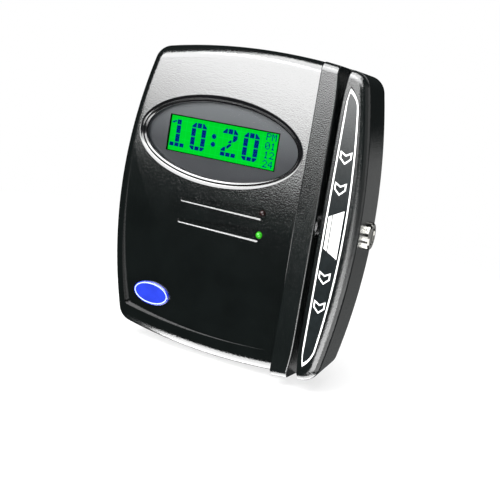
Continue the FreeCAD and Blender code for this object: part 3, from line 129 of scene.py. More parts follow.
def surface(name, colour, rough=0.4, metal=0.0, ior=1.5, gloss=0.5, vary=0.15, rough_vary=0.0,
            patch=60.0, grain=900.0, grain_depth=0.0, coat=0.0, glow=None, glow_power=0.0):
    """A Principled finish with patchy colour, uneven gloss and a fine grain.

    Patch and grain are noise scales per metre, and the grain's depth is in metres.
    """
    graph = material_graph(name)
    shader = graph.add("ShaderNodeBsdfPrincipled", Metallic=metal, IOR=ior, Roughness=rough,
                       Specular_IOR_Level=gloss)
    graph.show(shader)
    if coat:
        shader.inputs["Coat Weight"].default_value = coat
        shader.inputs["Coat Roughness"].default_value = COAT_ROUGH
    if vary:
        dark = [c * (1 - vary) for c in colour]
        light = [min(1.0, c * (1 + vary)) for c in colour]
        patches = ramp(graph, noise(graph, patch), *PATCH_RANGE, 0, 1)
        graph.link(blend_colours(graph, patches, dark, light), shader.inputs["Base Color"])
    else:
        shader.inputs["Base Color"].default_value = opaque(colour)
    if rough_vary:
        uneven = ramp(graph, noise(graph, patch * GLOSS_PATCH), *PATCH_RANGE,
                      rough - rough_vary, rough + rough_vary)
        graph.link(uneven, shader.inputs["Roughness"])
    if grain_depth:
        bump(graph, shader, noise(graph, grain, detail=2.0), grain_depth)
    if glow:
        shader.inputs["Emission Color"].default_value = opaque(glow)
        shader.inputs["Emission Strength"].default_value = glow_power
    return graph.owner


BRUSH_SCALE, BRUSH_RANGE, BRUSH_DEPTH = (300.0, 4000.0, 300.0), (0.2, 0.8), 0.00001
BRUSH_SMOOTHEST, BRUSH_ROUGHEST = 0.6, 1.5  # as shares of the metal's roughness


def brushed(name, colour, rough):
    """Metal with fine lines across it."""
    graph = material_graph(name)
    shader = graph.add("ShaderNodeBsdfPrincipled", Metallic=1.0, Roughness=rough,
                       Base_Color=opaque(colour))
    graph.show(shader)
    stretch = graph.add("ShaderNodeMapping", Scale=BRUSH_SCALE)
    graph.link(place(graph), stretch.inputs["Vector"])
    lines = graph.add("ShaderNodeTexNoise", Scale=1.0, Detail=2.0)
    graph.link(stretch.outputs["Vector"], lines.inputs["Vector"])
    uneven = ramp(graph, lines.outputs["Fac"], *BRUSH_RANGE, rough * BRUSH_SMOOTHEST,
                  rough * BRUSH_ROUGHEST)
    graph.link(uneven, shader.inputs["Roughness"])
    bump(graph, shader, lines.outputs["Fac"], BRUSH_DEPTH)
    return graph.owner


def bricks(graph, offset, wide, tall, gap, gap_smooth, face, second_face, line):
    """Rows of rectangles in the plane of the face, with lines between them, in metres."""
    turn = graph.add("ShaderNodeMapping", Rotation=(math.pi / 2, 0, 0))
    graph.link(place(graph), turn.inputs["Vector"])
    texture = graph.add("ShaderNodeTexBrick", offset=offset, squash=1.0, Scale=1.0,
                        Brick_Width=wide, Row_Height=tall, Mortar_Size=gap,
                        Mortar_Smooth=gap_smooth, Color1=opaque(face),
                        Color2=opaque(second_face), Mortar=opaque(line))
    graph.link(turn.outputs["Vector"], texture.inputs["Vector"])
    return texture


TRACK_RISE = 0.00003


def solder_mask():
    """Green board with copper tracks showing through."""
    graph = material_graph("circuit_board")
    shader = graph.add("ShaderNodeBsdfPrincipled", Roughness=0.32, IOR=1.55)
    graph.show(shader)
    tracks = bricks(graph, offset=0.5, wide=0.011, tall=0.0023, gap=0.0004, gap_smooth=0.1,
                    face=(0.012, 0.115, 0.045), second_face=(0.014, 0.13, 0.05),
                    line=(0.03, 0.21, 0.085))
    graph.link(tracks.outputs["Color"], shader.inputs["Base Color"])
    bump(graph, shader, tracks.outputs["Fac"], -TRACK_RISE)
    return graph.owner


def lit_display():
    """Back-lit display face with faint character cells."""
    graph = material_graph("lcd_face")
    shader = graph.add("ShaderNodeBsdfPrincipled", Roughness=0.35, Specular_IOR_Level=0.0,
                       Base_Color=opaque((0.0, 0.04, 0.004)), Emission_Strength=1.0)
    graph.show(shader)
    cell_green = (0.0, 0.66, 0.02)
    cells = bricks(graph, offset=0.0, wide=0.0037, tall=0.0054, gap=0.00025, gap_smooth=0.4,
                   face=cell_green, second_face=cell_green, line=(0.0, 0.72, 0.03))
    graph.link(cells.outputs["Color"], shader.inputs["Emission Color"])
    return graph.owner


def clear_lens():
    """A clear plate with parallel faces: it mirrors very little and doesn't bend the view."""
    graph = material_graph("lens_clear")
    through = graph.add("ShaderNodeBsdfTransparent", Color=opaque((0.95, 0.95, 0.96)))
    mirror = graph.add("ShaderNodeBsdfAnisotropic", Roughness=0.05)
    facing = graph.add("ShaderNodeFresnel", IOR=1.06)
    graph.show(graph.mix(facing.outputs["Fac"], through, mirror))
    return graph.owner


FILM_SHEEN_LOW, FILM_SHEEN_HIGH = 0.030, 0.062  # heights between which a painted sheen lightens the film
# The film's own charcoal, and the lighter colour of the painted sheen near its top
FILM_DARK, FILM_PAINTED_SHEEN = (0.016, 0.018, 0.0195), (0.078, 0.085, 0.085)
FILM_GRAIN, FILM_GRAIN_DEPTH = 3000.0, 0.00001


def tinted_film():
    """Charcoal print with a painted sheen that lightens it towards its upper edge."""
    graph = material_graph("film_print")
    shader = graph.add("ShaderNodeBsdfPrincipled", Roughness=0.35)
    graph.show(shader)
    axes = graph.add("ShaderNodeSeparateXYZ")
    graph.link(place(graph), axes.inputs["Vector"])
    # Painted sheen: the film's colour lightens with height
    rise = ramp(graph, axes.outputs["Z"], FILM_SHEEN_LOW, FILM_SHEEN_HIGH, 0, 1)
    graph.link(blend_colours(graph, rise, FILM_DARK, FILM_PAINTED_SHEEN), shader.inputs["Base Color"])
    bump(graph, shader, noise(graph, FILM_GRAIN, detail=2.0), FILM_GRAIN_DEPTH)
    return graph.owner


FINISH = {
    "cover": surface("cover_plastic", (0.002, 0.0027, 0.0026), rough=0.12, ior=1.9, vary=0.2,
                     rough_vary=0.006, grain=1200.0, grain_depth=0.00008),
    "reader": surface("reader_plastic", (0.003, 0.004, 0.0039), rough=0.13, ior=1.82, vary=0.2,
                      rough_vary=0.008, grain=1500.0, grain_depth=0.0001),
    "bezel": surface("bezel_plastic", (0.003, 0.003, 0.0035), rough=0.14, ior=1.85, vary=0.1,
                     rough_vary=0.02),
    "plate": surface("plate_plastic", (0.045, 0.045, 0.05), rough=0.55, vary=0.15,
                     rough_vary=0.05, grain=1500.0, grain_depth=0.00006),
    "decal": surface("decal_print", (0.006, 0.008, 0.0085), rough=0.18, ior=1.65, vary=0.2,
                     patch=300.0, grain=2000.0, grain_depth=0.00002),
    "ink_white": surface("ink_white", (0.82, 0.83, 0.82), rough=0.45, vary=0.03),
    "ink_black": surface("ink_black", (0.003, 0.003, 0.0035), rough=0.6, gloss=0.2, vary=0.1),
    "lcd_can": surface("lcd_can", (0.02, 0.02, 0.022), rough=0.35, metal=0.6, rough_vary=0.05),
    "lcd_ink": surface("lcd_ink", (0.0, 0.006, 0.05), rough=0.5, gloss=0.0, vary=0.0,
                       glow=(0.0, 0.05, 0.65), glow_power=0.15),
    # Dark green paint that stands in for the film's shadow along the display window's edge
    "lcd_painted_shadow": surface("lcd_painted_shadow", (0.0, 0.02, 0.002), rough=0.5, gloss=0.0, vary=0.1),
    "light_guide": surface("light_guide", (0.62, 0.78, 0.6), rough=0.5, vary=0.05),
    "chip": surface("chip_epoxy", (0.02, 0.02, 0.021), rough=0.5, vary=0.2, grain=3500.0,
                    grain_depth=0.00003),
    "socket": surface("socket_plastic", (0.022, 0.022, 0.024), rough=0.4, vary=0.2,
                      rough_vary=0.05),
    "badge": surface("badge_blue", (0.014, 0.030, 0.36), rough=0.15, ior=1.6, vary=0.12,
                     patch=150.0, coat=0.6),
    "badge_line": surface("badge_line", (0.42, 0.50, 0.85), rough=0.25, vary=0.05, coat=0.5),
    "red_light": surface("red_light", (0.010, 0.003, 0.003), rough=0.06, vary=0.2, patch=500.0),
    "green_light": surface("green_light", (0.02, 0.22, 0.01), rough=0.06, vary=0.6,
                           patch=450.0, glow=(0.03, 0.42, 0.01), glow_power=0.6),
    "chrome": surface("lock_chrome", (0.62, 0.61, 0.57), rough=0.12, metal=1.0, vary=0.05,
                      rough_vary=0.04, grain=500.0, grain_depth=0.000004),
    "steel": brushed("screw_steel", (0.52, 0.52, 0.53), 0.32),
    "head": brushed("head_metal", (0.66, 0.66, 0.67), 0.22),
    "cell": brushed("cell_steel", (0.72, 0.72, 0.70), 0.25),
    "can": brushed("capacitor_can", (0.70, 0.71, 0.73), 0.3),
    "tin": surface("tin_plate", (0.62, 0.62, 0.60), rough=0.3, metal=1.0, vary=0.1, patch=900.0),
    "gold": surface("gold_plate", (0.80, 0.55, 0.18), rough=0.22, metal=1.0, vary=0.05),
    # Dark paint: painted shade of the screws' cross recesses
    "drive_shade": surface("screw_drive_shade", (0.03, 0.03, 0.03), rough=0.5, metal=0.6, vary=0.1),
    "flex": surface("flex_film", (0.42, 0.17, 0.03), rough=0.25, vary=0.1),
    "ribbon": surface("ribbon_grey", (0.42, 0.42, 0.43), rough=0.5, vary=0.1),
    "board": solder_mask(),
    "lcd": lit_display(),
    "lens": clear_lens(),
    "film": tinted_film(),
}

# The pieces that this script replaces, display_bezel, lens_film and rail_decal, aren't dressed
NODE_FINISH = {
    "cover": ["front_cover"],
    "reader": ["reader_guide", "swipe_rail", "slot_base"],
    "plate": ["wall_plate"],
    "lens": ["display_lens"],
    "lcd_can": ["lcd_frame"],
    "lcd": ["lcd_glass"],
    "light_guide": ["lcd_backlight"],
    "board": ["main_board", "lcd_board", "led_board", "reader_board"],
    "chip": ["processor_chip", "memory_chips", "reader_chip", "buzzer", "battery_holder"],
    "socket": ["network_jack", "power_jack", "lcd_header", "led_header"],
    "can": ["capacitors"],
    "cell": ["backup_battery"],
    "steel": ["keeper_screw", "lcd_screws", "board_screws", "led_board_screws", "reader_screws",
              "seam_screws", "cam_screw", "hinge_pins", "cam_keeper", "lock_cam",
              "head_spring"],
    "chrome": ["lock_cylinder", "lock_plug", "lock_nut"],
    "head": ["read_head"],
    "flex": ["head_flex"],
    "ribbon": ["reader_ribbon"],
    "red_light": ["status_led_upper"],
    "green_light": ["status_led_lower"],
    "badge": ["badge"],
}
for finish, names in NODE_FINISH.items():
    for name in names:
        for slot in nodes[name].material_slots:
            slot.material = FINISH[finish]


# Thin shapes, given by X, depth from the wall and Z in millimetres


def point(x, depth, z):
    """The place in metres."""
    return Vector((x * MM, -depth * MM, z * MM))


def turns(count):
    """Angles once round a circle."""
    return [2 * math.pi * i / count for i in range(count)]


def rectangle(left, low, right, high):
    return [(left, low), (right, low), (right, high), (left, high)]


def strip(x, z, wide, tall):
    """A rectangle about its middle."""
    return rectangle(x - wide / 2, z - tall / 2, x + wide / 2, z + tall / 2)


def moved_in(outline, distance):
    """A counter-clockwise outline with every side moved inwards by one distance."""
    count = len(outline)
    sides = []
    for i, (ax, az) in enumerate(outline):
        bx, bz = outline[(i + 1) % count]
        length = math.hypot(bx - ax, bz - az)
        nx, nz = -(bz - az) / length, (bx - ax) / length
        sides.append((nx, nz, nx * ax + nz * az + distance))
    corners = []
    for i in range(count):
        (ax, az, a), (bx, bz, b) = sides[i - 1], sides[i]
        turn = ax * bz - az * bx
        corners.append(((a * bz - b * az) / turn, (b * ax - a * bx) / turn))
    return corners


def runs_clockwise(outline):
    following = outline[1:] + outline[:1]
    return sum(ax * bz - bx * az for (ax, az), (bx, bz) in zip(outline, following)) < 0


def mesh_object(name, vertices, faces, finish, body="case"):
    mesh = bpy.data.meshes.new(name)
    mesh.from_pydata(vertices, [], faces)
    mesh.update()
    piece = bpy.data.objects.new(name, mesh)
    bpy.context.scene.collection.objects.link(piece)
    mesh.materials.append(FINISH[finish])
    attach(piece, body)
    return piece


def prints(name, outlines, back, thick, finish):
    """Flat shapes with straight edges, each a closed outline of (x, z), as one piece."""
    vertices, faces = [], []
    for outline in outlines:
        if runs_clockwise(outline):
            outline = outline[::-1]
        start, count = len(vertices), len(outline)
        vertices += [point(x, back, z) for x, z in outline]
        vertices += [point(x, back + thick, z) for x, z in outline]
        faces.append([start + i for i in range(count)][::-1])
        faces.append([start + count + i for i in range(count)])
        for i in range(count):
            j = (i + 1) % count
            faces.append([start + i, start + j, start + count + j, start + count + i])
    return mesh_object(name, vertices, faces, finish)


def ring(name, outer, inner, back, thick, finish):
    """A flat band between two counter-clockwise outlines with as many points each."""
    count = len(outer)
    vertices = []
    for depth in (back, back + thick):
        vertices += [point(x, depth, z) for x, z in outer]
        vertices += [point(x, depth, z) for x, z in inner]
    faces = []
    for i in range(count):
        j = (i + 1) % count
        o0, o1, n0, n1 = i, j, count + i, count + j
        lift = 2 * count
        faces.append([o0, n0, n1, o1])
        faces.append([o0 + lift, o1 + lift, n1 + lift, n0 + lift])
        faces.append([o0, o1, o1 + lift, o0 + lift])
        faces.append([n1, n0, n0 + lift, n1 + lift])
    return mesh_object(name, vertices, faces, finish)


def shade_smooth(piece, degrees):
    """Shade a piece smoothly where its faces meet at less than an angle."""
    for polygon in piece.data.polygons:
        polygon.use_smooth = True
    piece.data.set_sharp_from_angle(angle=math.radians(degrees))


# Display text: a 20 by 4 character display that shows large digits made of whole cells

LCD_FACE, INK_THICK = 32.5, 0.05
CHARACTER_PITCH, ROW_PITCH = 3.575, 5.17
DOT_X, DOT_Z, DOT_FILL = 0.60, 0.585, 0.98
TEXT_LEFT, TEXT_TOP = -51.1, 45.4
BIG_TEXT = [("1", 0), ("0", 4), (":", 7), ("2", 10), ("0", 14)]  # each digit and its column
SMALL_TEXT, SMALL_COLUMN = ["PM", "01", "12", "24"], 18
BLANK = ["....."]
BLOCK = ["#####"]
BIG_CELLS = {
    "|": 8 * BLOCK,
    "^": 3 * BLANK + 5 * BLOCK,
    "v": 4 * BLOCK + 4 * BLANK,
    "/": 3 * BLANK + ["...##", "..###", ".####", "#####", "#####"],
    "\\": 3 * BLANK + ["##...", "###..", "####.", "#####", "#####"],
    "[": ["#####", "#####", ".####", "..###"] + 4 * BLANK,
    "]": ["#####", "#####", "####.", "###.."] + 4 * BLANK,
    "f": 4 * BLANK + ["...##", ".####", "###..", "....."],
    "u": ["#####", "#####", "#####", "#####", "####.", "###..", "#....", "....."],
    "w": 5 * BLANK + ["...##", "..###", ".####"],
    "x": ["..###", ".####", "####.", "###..", "##..."] + 3 * BLANK,
    "y": 3 * BLANK + ["....#", "..###", ".####", "#####", "#####"],
    "o": 2 * BLANK + [".###.", "#####", "#####", "#####", ".###.", "....."],
    "O": [".....", ".###.", "#####", "#####", "#####", ".###."] + 2 * BLANK,
}
BIG_DIGITS = {
    "0": ["/^\\", "| |", "| |", "[v]"],
    "1": ["f^ ", " | ", " | ", "vvv"],
    "2": ["/^\\", " wu", "yx ", "vvv"],
    ":": ["   ", " o ", " O ", "   "],
}
SMALL_LETTERS = {
    "P": ["####.", "#...#", "#...#", "####.", "#....", "#....", "#...."],
    "M": ["#...#", "##.##", "#.#.#", "#.#.#", "#...#", "#...#", "#...#"],
    "0": [".###.", "#...#", "#..##", "#.#.#", "##..#", "#...#", ".###."],
    "1": ["..#..", ".##..", "..#..", "..#..", "..#..", "..#..", ".###."],
    "2": [".###.", "#...#", "....#", "...#.", "..#..", ".#...", "#####"],
    "4": ["...#.", "..##.", ".#.#.", "#..#.", "#####", "...#.", "...#."],
}


def character_dots(rows, column, line):
    """Outlines of the dots of one character cell."""
    dots = []
    wide, tall = DOT_X * DOT_FILL, DOT_Z * DOT_FILL
    for r, row in enumerate(rows):
        for c, mark in enumerate(row):
            if mark == "#":
                x = TEXT_LEFT + column * CHARACTER_PITCH + c * DOT_X
                z = TEXT_TOP - line * ROW_PITCH - r * DOT_Z
                dots.append([(x, z), (x, z - tall), (x + wide, z - tall), (x + wide, z)])
    return dots


def display_dots():
    """The dots of the large time, and of four rows of small print at its right."""
    dots = []
    for digit, column in BIG_TEXT:
        for line, cells in enumerate(BIG_DIGITS[digit]):
            for c, cell in enumerate(cells):
                if cell != " ":
                    dots += character_dots(BIG_CELLS[cell], column + c, line)
    for line, text in enumerate(SMALL_TEXT):
        for c, letter in enumerate(text):
            dots += character_dots(SMALL_LETTERS[letter], SMALL_COLUMN + c, line)
    return dots


# Bezel, film and a painted shadow along the edge of the display

DISPLAY_X, DISPLAY_Z, HALF_WIDE, HALF_TALL = -14.65, 35.5, 55.2, 26.1
LENS_FACE, LENS_GAP = 35.9, 0.02
LENS_SEAT = LENS_FACE + LENS_GAP
BEZEL_BACK, BEZEL_RIGHT, BEZEL_LEFT = 33.4, 40.8, -71.5
BEZEL_STEPS, BEZEL_SHARP = 240, 50
# Each point is an inset from the outer ellipse and a height over the face, or a depth
BEZEL_PROFILE = [
    (-2.2, "depth", BEZEL_BACK), (-2.2, "face", -2.9), (0.0, "face", -2.9),
    (0.0, "face", 0.0), (0.04, "face", 0.10), (0.14, "face", 0.11),
    (1.95, "face", -0.76), (2.07, "face", -0.86), (2.1, "face", -0.98), (2.40, "face", -1.9),
    (2.48, "face", -1.9), (2.8, "face", -1.02), (2.88, "face", -0.98),
    (3.85, "face", -1.42), (3.96, "face", -1.50), (4.0, "face", -1.62),
    (4.0, "depth", LENS_SEAT), (2.9, "depth", LENS_SEAT), (2.9, "depth", BEZEL_BACK),
]
DOME_TOP, DOME_X, DOME_Z, DOME_ACROSS_RADIUS, DOME_UP_RADIUS = 40.5, -17.15, -5.0, 1500.0, 700.0

# A dark band just inside the film's window on the display face: painted shadow of the window's
# edge
SHADOW_THICK = 0.06
LCD_SHADOW_OUTER = rectangle(-53.6, 23.6, 24.3, 47.4)
LCD_SHADOW_INNER = rectangle(-51.75, 24.95, 20.9, 45.75)

FILM_ACROSS, FILM_UP = 52.2, 23.1
WINDOW_HALF_WIDE, WINDOW_HALF_TALL = 37.25, 11.0
FILM_BACK, FILM_THICK, FILM_STEPS = 34.2, 0.18, 120
NEARLY_ZERO = 1e-9


def face_depth(x, z):
    """Depth of the cover's domed face."""
    across = (x - DOME_X) ** 2 / (2 * DOME_ACROSS_RADIUS)
    up = (z - DOME_Z) ** 2 / (2 * DOME_UP_RADIUS)
    return DOME_TOP - across - up


def bezel():
    """One profile carried round the ellipse, following the domed face."""
    count = len(BEZEL_PROFILE)
    vertices, faces = [], []
    for i, turn in enumerate(turns(BEZEL_STEPS)):
        for inset, kind, value in BEZEL_PROFILE:
            x = DISPLAY_X + (HALF_WIDE - inset) * math.cos(turn)
            z = DISPLAY_Z + (HALF_TALL - inset) * math.sin(turn)
            x = max(BEZEL_LEFT, min(BEZEL_RIGHT, x))
            vertices.append(point(x, value if kind == "depth" else face_depth(x, z) + value, z))
        following = (i + 1) % BEZEL_STEPS
        for j in range(count):
            k = (j + 1) % count
            faces.append([i * count + j, following * count + j, following * count + k,
                          i * count + k])
    piece = mesh_object("bezel_ring", vertices, faces, "bezel")
    shade_smooth(piece, BEZEL_SHARP)
    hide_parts("display_bezel")


def film_sheet():
    """The film with its window, a hair behind the lens it lies on."""
    corner = math.atan2(WINDOW_HALF_TALL, WINDOW_HALF_WIDE)
    rays = turns(FILM_STEPS)
    rays += [corner, math.pi - corner, math.pi + corner, 2 * math.pi - corner]
    outer, inner = [], []
    for turn in sorted(rays):
        c, s = math.cos(turn), math.sin(turn)
        far = 1 / math.hypot(c / FILM_ACROSS, s / FILM_UP)
        near = min(WINDOW_HALF_WIDE / max(abs(c), NEARLY_ZERO),
                   WINDOW_HALF_TALL / max(abs(s), NEARLY_ZERO))
        outer.append((DISPLAY_X + far * c, DISPLAY_Z + far * s))
        inner.append((DISPLAY_X + near * c, DISPLAY_Z + near * s))
    sheet = ring("film_sheet", outer, inner, FILM_BACK, FILM_THICK, "film")
    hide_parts("lens_film")


# Sloped lower edge of each tapered groove, from its tip round to the light

LIGHT_X, LIGHT_ROWS = 21.15, (0.5, -12.2)
GROOVE_TIP_X, GROOVE_TIP_DROP, TIP_RADIUS, END_RADIUS = -31.15, 2.0, 1.3, 3.9
SLOPE_OVERLAP, SLOPE_WIDE, SLOPE_DEEP, SLOPE_LIFT = 0.12, 0.9, 0.8, 0.03
TIP_SHARE, END_SHARE = 0.5, 0.1  # of the slope's width and depth, at the tip and at its end
TIP_ANGLES, END_ANGLES, END_TAPER = range(194, 266, 9), range(268, 300, 4), 36
SLOPE_SHARP = 40


def groove_slope(name, z):
    """A three-sided strip along the groove's edge, thinner at its tip and at its end."""
    tip_z = z - GROOVE_TIP_DROP
    lean = math.degrees(math.atan2(z - tip_z, LIGHT_X - GROOVE_TIP_X))
    path = [(GROOVE_TIP_X, tip_z, TIP_RADIUS, a, TIP_SHARE) for a in TIP_ANGLES]
    path += [(LIGHT_X, z, END_RADIUS, a, max(END_SHARE, 1 - (a - END_ANGLES[0]) / END_TAPER))
             for a in END_ANGLES]
    vertices = []
    for x, mid_z, radius, degrees, share in path:
        turn = math.radians(degrees + lean)
        c, s = math.cos(turn), math.sin(turn)
        far, near = radius + SLOPE_OVERLAP, radius - SLOPE_WIDE * share
        outer = (x + far * c, mid_z + far * s)
        inner = (x + near * c, mid_z + near * s)
        face, sunk = face_depth(*outer), SLOPE_DEEP * share
        vertices += [point(outer[0], face + SLOPE_LIFT, outer[1]),
                     point(inner[0], face - sunk, inner[1]),
                     point(outer[0], face - sunk, outer[1])]
    faces = [[0, 1, 2], [len(vertices) - 1, len(vertices) - 2, len(vertices) - 3]]
    for i in range(0, len(vertices) - 3, 3):
        for j in range(3):
            k = (j + 1) % 3
            faces.append([i + j, i + 3 + j, i + 3 + k, i + k])
    piece = mesh_object(name, vertices, faces, "cover")
    shade_smooth(piece, SLOPE_SHARP)


# Printed label on the rail: a leaf with a white line, four arrows and a card

RAIL_FACE = 41.3
LABEL_SUNK, LABEL_THICK = 0.3, 0.24
PRINT_SUNK, PRINT_THICK = 0.08, 0.07
LEAF_LEFT, LEAF_TIP_X = 61.15, 62.95
LEAF_SHOULDER, LEAF_TOP, LEAF_BOTTOM = 67.0, 78.1, -79.3
LEAF_RIGHT, LEAF_BELLY = 69.65, 74.45
TIP_BULGE_LEFT, TIP_BULGE_RIGHT = 0.3, 1.1
TIP_POINTS_LEFT, TIP_POINTS_RIGHT, BELLY_POINTS = 4, 10, 40
LINE_INSET, LINE_WIDE, TIP_STRETCH = 0.42, 0.85, 2.6
ARROW_X, ARROW_TOPS, ARROW_LINE = 66.8, (43.9, 27.0, -22.6, -39.1), 0.8
ARROW_HALF, ARROW_LONG, ARROW_NOTCH, ARROW_SHOULDER = 3.45, 7.3, 1.9, 4.1
CARD = [(71.7, 12.1), (63.2, 7.5), (63.4, -10.3), (71.9, -14.7)]
CARD_STRIPE = [(65.7, 8.8), (65.1, 8.5), (65.3, -11.3), (65.9, -11.6)]
STRIPE_LIFT, STRIPE_THINNER = 0.03, 0.02


def arc_points(a, b, bulge, count):
    """Points on the way from a to b that bow out by bulge to the left of that way."""
    ax, az = a
    bx, bz = b
    length = math.hypot(bx - ax, bz - az)
    nx, nz = -(bz - az) / length, (bx - ax) / length
    points = []
    for i in range(count):
        t = i / count
        out = 4 * bulge * t * (1 - t)
        points.append((ax + (bx - ax) * t + nx * out, az + (bz - az) * t + nz * out))
    return points


def leaf(inset):
    """The leaf outline, counter-clockwise from its lower left corner, moved inwards."""
    left, right = LEAF_LEFT + inset, LEAF_RIGHT - inset
    low_left, high_left = (left, -LEAF_SHOULDER), (left, LEAF_SHOULDER)
    low_right, high_right = (right, -LEAF_SHOULDER), (right, LEAF_SHOULDER)
    tip_top = (LEAF_TIP_X, LEAF_TOP - TIP_STRETCH * inset)
    tip_bottom = (LEAF_TIP_X, LEAF_BOTTOM + TIP_STRETCH * inset)
    belly = LEAF_BELLY - LEAF_RIGHT
    return (
        arc_points(low_left, tip_bottom, -TIP_BULGE_LEFT, TIP_POINTS_LEFT)
        + arc_points(tip_bottom, low_right, -TIP_BULGE_RIGHT, TIP_POINTS_RIGHT)
        + arc_points(low_right, high_right, -belly, BELLY_POINTS)
        + arc_points(high_right, tip_top, -TIP_BULGE_RIGHT, TIP_POINTS_RIGHT)
        + arc_points(tip_top, high_left, -TIP_BULGE_LEFT, TIP_POINTS_LEFT)
        + [high_left]
    )


def arrow(x, top):
    """A blunt arrow that points down with a notch in its upper edge."""
    shoulder = top - ARROW_SHOULDER
    return [
        (x, top - ARROW_NOTCH), (x - ARROW_HALF, top), (x - ARROW_HALF, shoulder),
        (x, top - ARROW_LONG), (x + ARROW_HALF, shoulder), (x + ARROW_HALF, top),
    ]


def rail_label():
    base = prints("rail_label", [leaf(0)], RAIL_FACE - LABEL_SUNK, LABEL_THICK, "decal")
    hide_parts("rail_decal")
    front, thick = RAIL_FACE - PRINT_SUNK, PRINT_THICK
    ring("label_edge", leaf(0), leaf(LINE_INSET), front, thick, "ink_black")
    ring("label_line", leaf(LINE_INSET), leaf(LINE_INSET + LINE_WIDE), front, thick,
         "ink_white")
    for i, top in enumerate(ARROW_TOPS):
        outer = arrow(ARROW_X, top)
        ring(f"label_arrow_{i}", outer, moved_in(outer, ARROW_LINE), front, thick, "ink_white")
    prints("label_card", [CARD], front, thick, "ink_white")
    prints("label_stripe", [CARD_STRIPE], front + STRIPE_LIFT, thick - STRIPE_THINNER,
           "ink_black")


# Light ring printed on the badge, whose face lies along the sloping apron

BADGE_X, BADGE_Z, BADGE_FACE, BADGE_RISE_X, BADGE_RISE_Z = -45.15, -62.8, 38.0, 0.0482, 0.1157
BADGE_LINE_WIDE, BADGE_LINE_TALL, BADGE_LINE = 12.35, 6.45, 0.7
BADGE_LINE_SUNK, BADGE_LINE_THICK, BADGE_STEPS = 0.02, 0.06, 96


def badge_oval(inset):
    wide, tall = BADGE_LINE_WIDE - inset, BADGE_LINE_TALL - inset
    return [(BADGE_X + wide * math.cos(t), BADGE_Z + tall * math.sin(t))
            for t in turns(BADGE_STEPS)]


def badge_ring():
    piece = ring("badge_ring", badge_oval(0), badge_oval(BADGE_LINE),
                 BADGE_FACE - BADGE_LINE_SUNK, BADGE_LINE_THICK, "badge_line")
    for vertex in piece.data.vertices:
        x, z = vertex.co.x / MM - BADGE_X, vertex.co.z / MM - BADGE_Z
        vertex.co.y -= (BADGE_RISE_X * x + BADGE_RISE_Z * z) * MM


# Details on the wall side of the main board, which shows when the case is opened. Heights are
# counted from the board towards the wall

BOARD_BACK = 18.0
PROCESSOR = (-30.0, 20.0, 14.0, 14.0)  # middle, width and height
MEMORIES = [(-30.0, -6.0, 10.0, 6.0), (-30.0, -16.0, 10.0, 6.0)]
PROCESSOR_LEGS, MEMORY_LEGS = 14, 5  # on each side that has legs
LEG_HIGH, LEG_LONG, LEG_WIDE, LEG_REACH, LEG_MARGIN = 0.45, 1.3, 0.42, 0.6, 1.6
# Rows of small parts: where the first one is, the step to the next one, and their number
PART_ROWS = [
    (-52.0, 38.0, 3.4, 0.0, 7), (-10.0, 64.0, 3.4, 0.0, 6), (-46.0, 24.0, 0.0, -3.0, 9),
    (-14.0, 26.0, 0.0, -3.0, 7), (4.0, 36.0, 3.4, 0.0, 5), (-54.0, -24.0, 0.0, -3.2, 6),
    (12.0, -40.0, 3.4, 0.0, 6),
]
PART_END_SIZE, PART_END_HIGH = (2.0, 1.2), 0.55
PART_BODY_SIZE, PART_BODY_HIGH = (1.1, 1.24), 0.62
DIODE_PLACES = [(-4.0, 46.0), (4.0, 46.0), (28.0, -34.0)]
DIODE_SIZE, DIODE_HIGH = (3.6, 1.8), 1.4
CRYSTAL, CRYSTAL_HIGH = (-30.0, 36.0, 9.0, 3.6), 2.6
# Printed frames round the chips, the capacitors, the buzzer and the battery
PRINTED_FRAMES = [
    (-30.0, 20.0, 18.4, 18.4), (-30.0, -6.0, 14.6, 7.6), (-30.0, -16.0, 14.6, 7.6),
    (26.0, 21.0, 8.6, 27.0), (24.0, 54.0, 16.4, 16.4), (-38.0, -44.0, 26.0, 26.0),
]
FRAME_LINE, FRAME_HIGH = 0.22, 0.03
CAN_X, CAN_ROWS, CAN_RADIUS, CAN_STRIPE_STEPS = 26.0, (12.0, 21.0, 30.0), 3.0, 14
CAN_STRIPE_BACK, CAN_STRIPE_THICK = 9.97, 0.05
CONTACT_X, CONTACT_Z, CONTACT_SIZE, CONTACT_PITCH, CONTACTS = 2.0, -18.5, (0.45, 13.0), 1.02, 8
CONTACT_BACK, CONTACT_THICK = 15.3, 0.6


def chip_legs(x, z, wide, tall, count, all_round):
    """Flat legs along a chip's upright sides, or all round it."""
    legs = []
    for k in range(count):
        step = (k - (count - 1) / 2) * (tall - LEG_MARGIN) / (count - 1)
        for side in (-1, 1):
            legs.append(strip(x + side * (wide / 2 + LEG_REACH), z + step, LEG_LONG, LEG_WIDE))
            if all_round:
                legs.append(strip(x + step, z + side * (tall / 2 + LEG_REACH), LEG_WIDE,
                                  LEG_LONG))
    return legs


def on_board(name, outlines, high, finish):
    """Flat shapes that stand on the board's wall side."""
    prints(name, outlines, BOARD_BACK - high, high, finish)


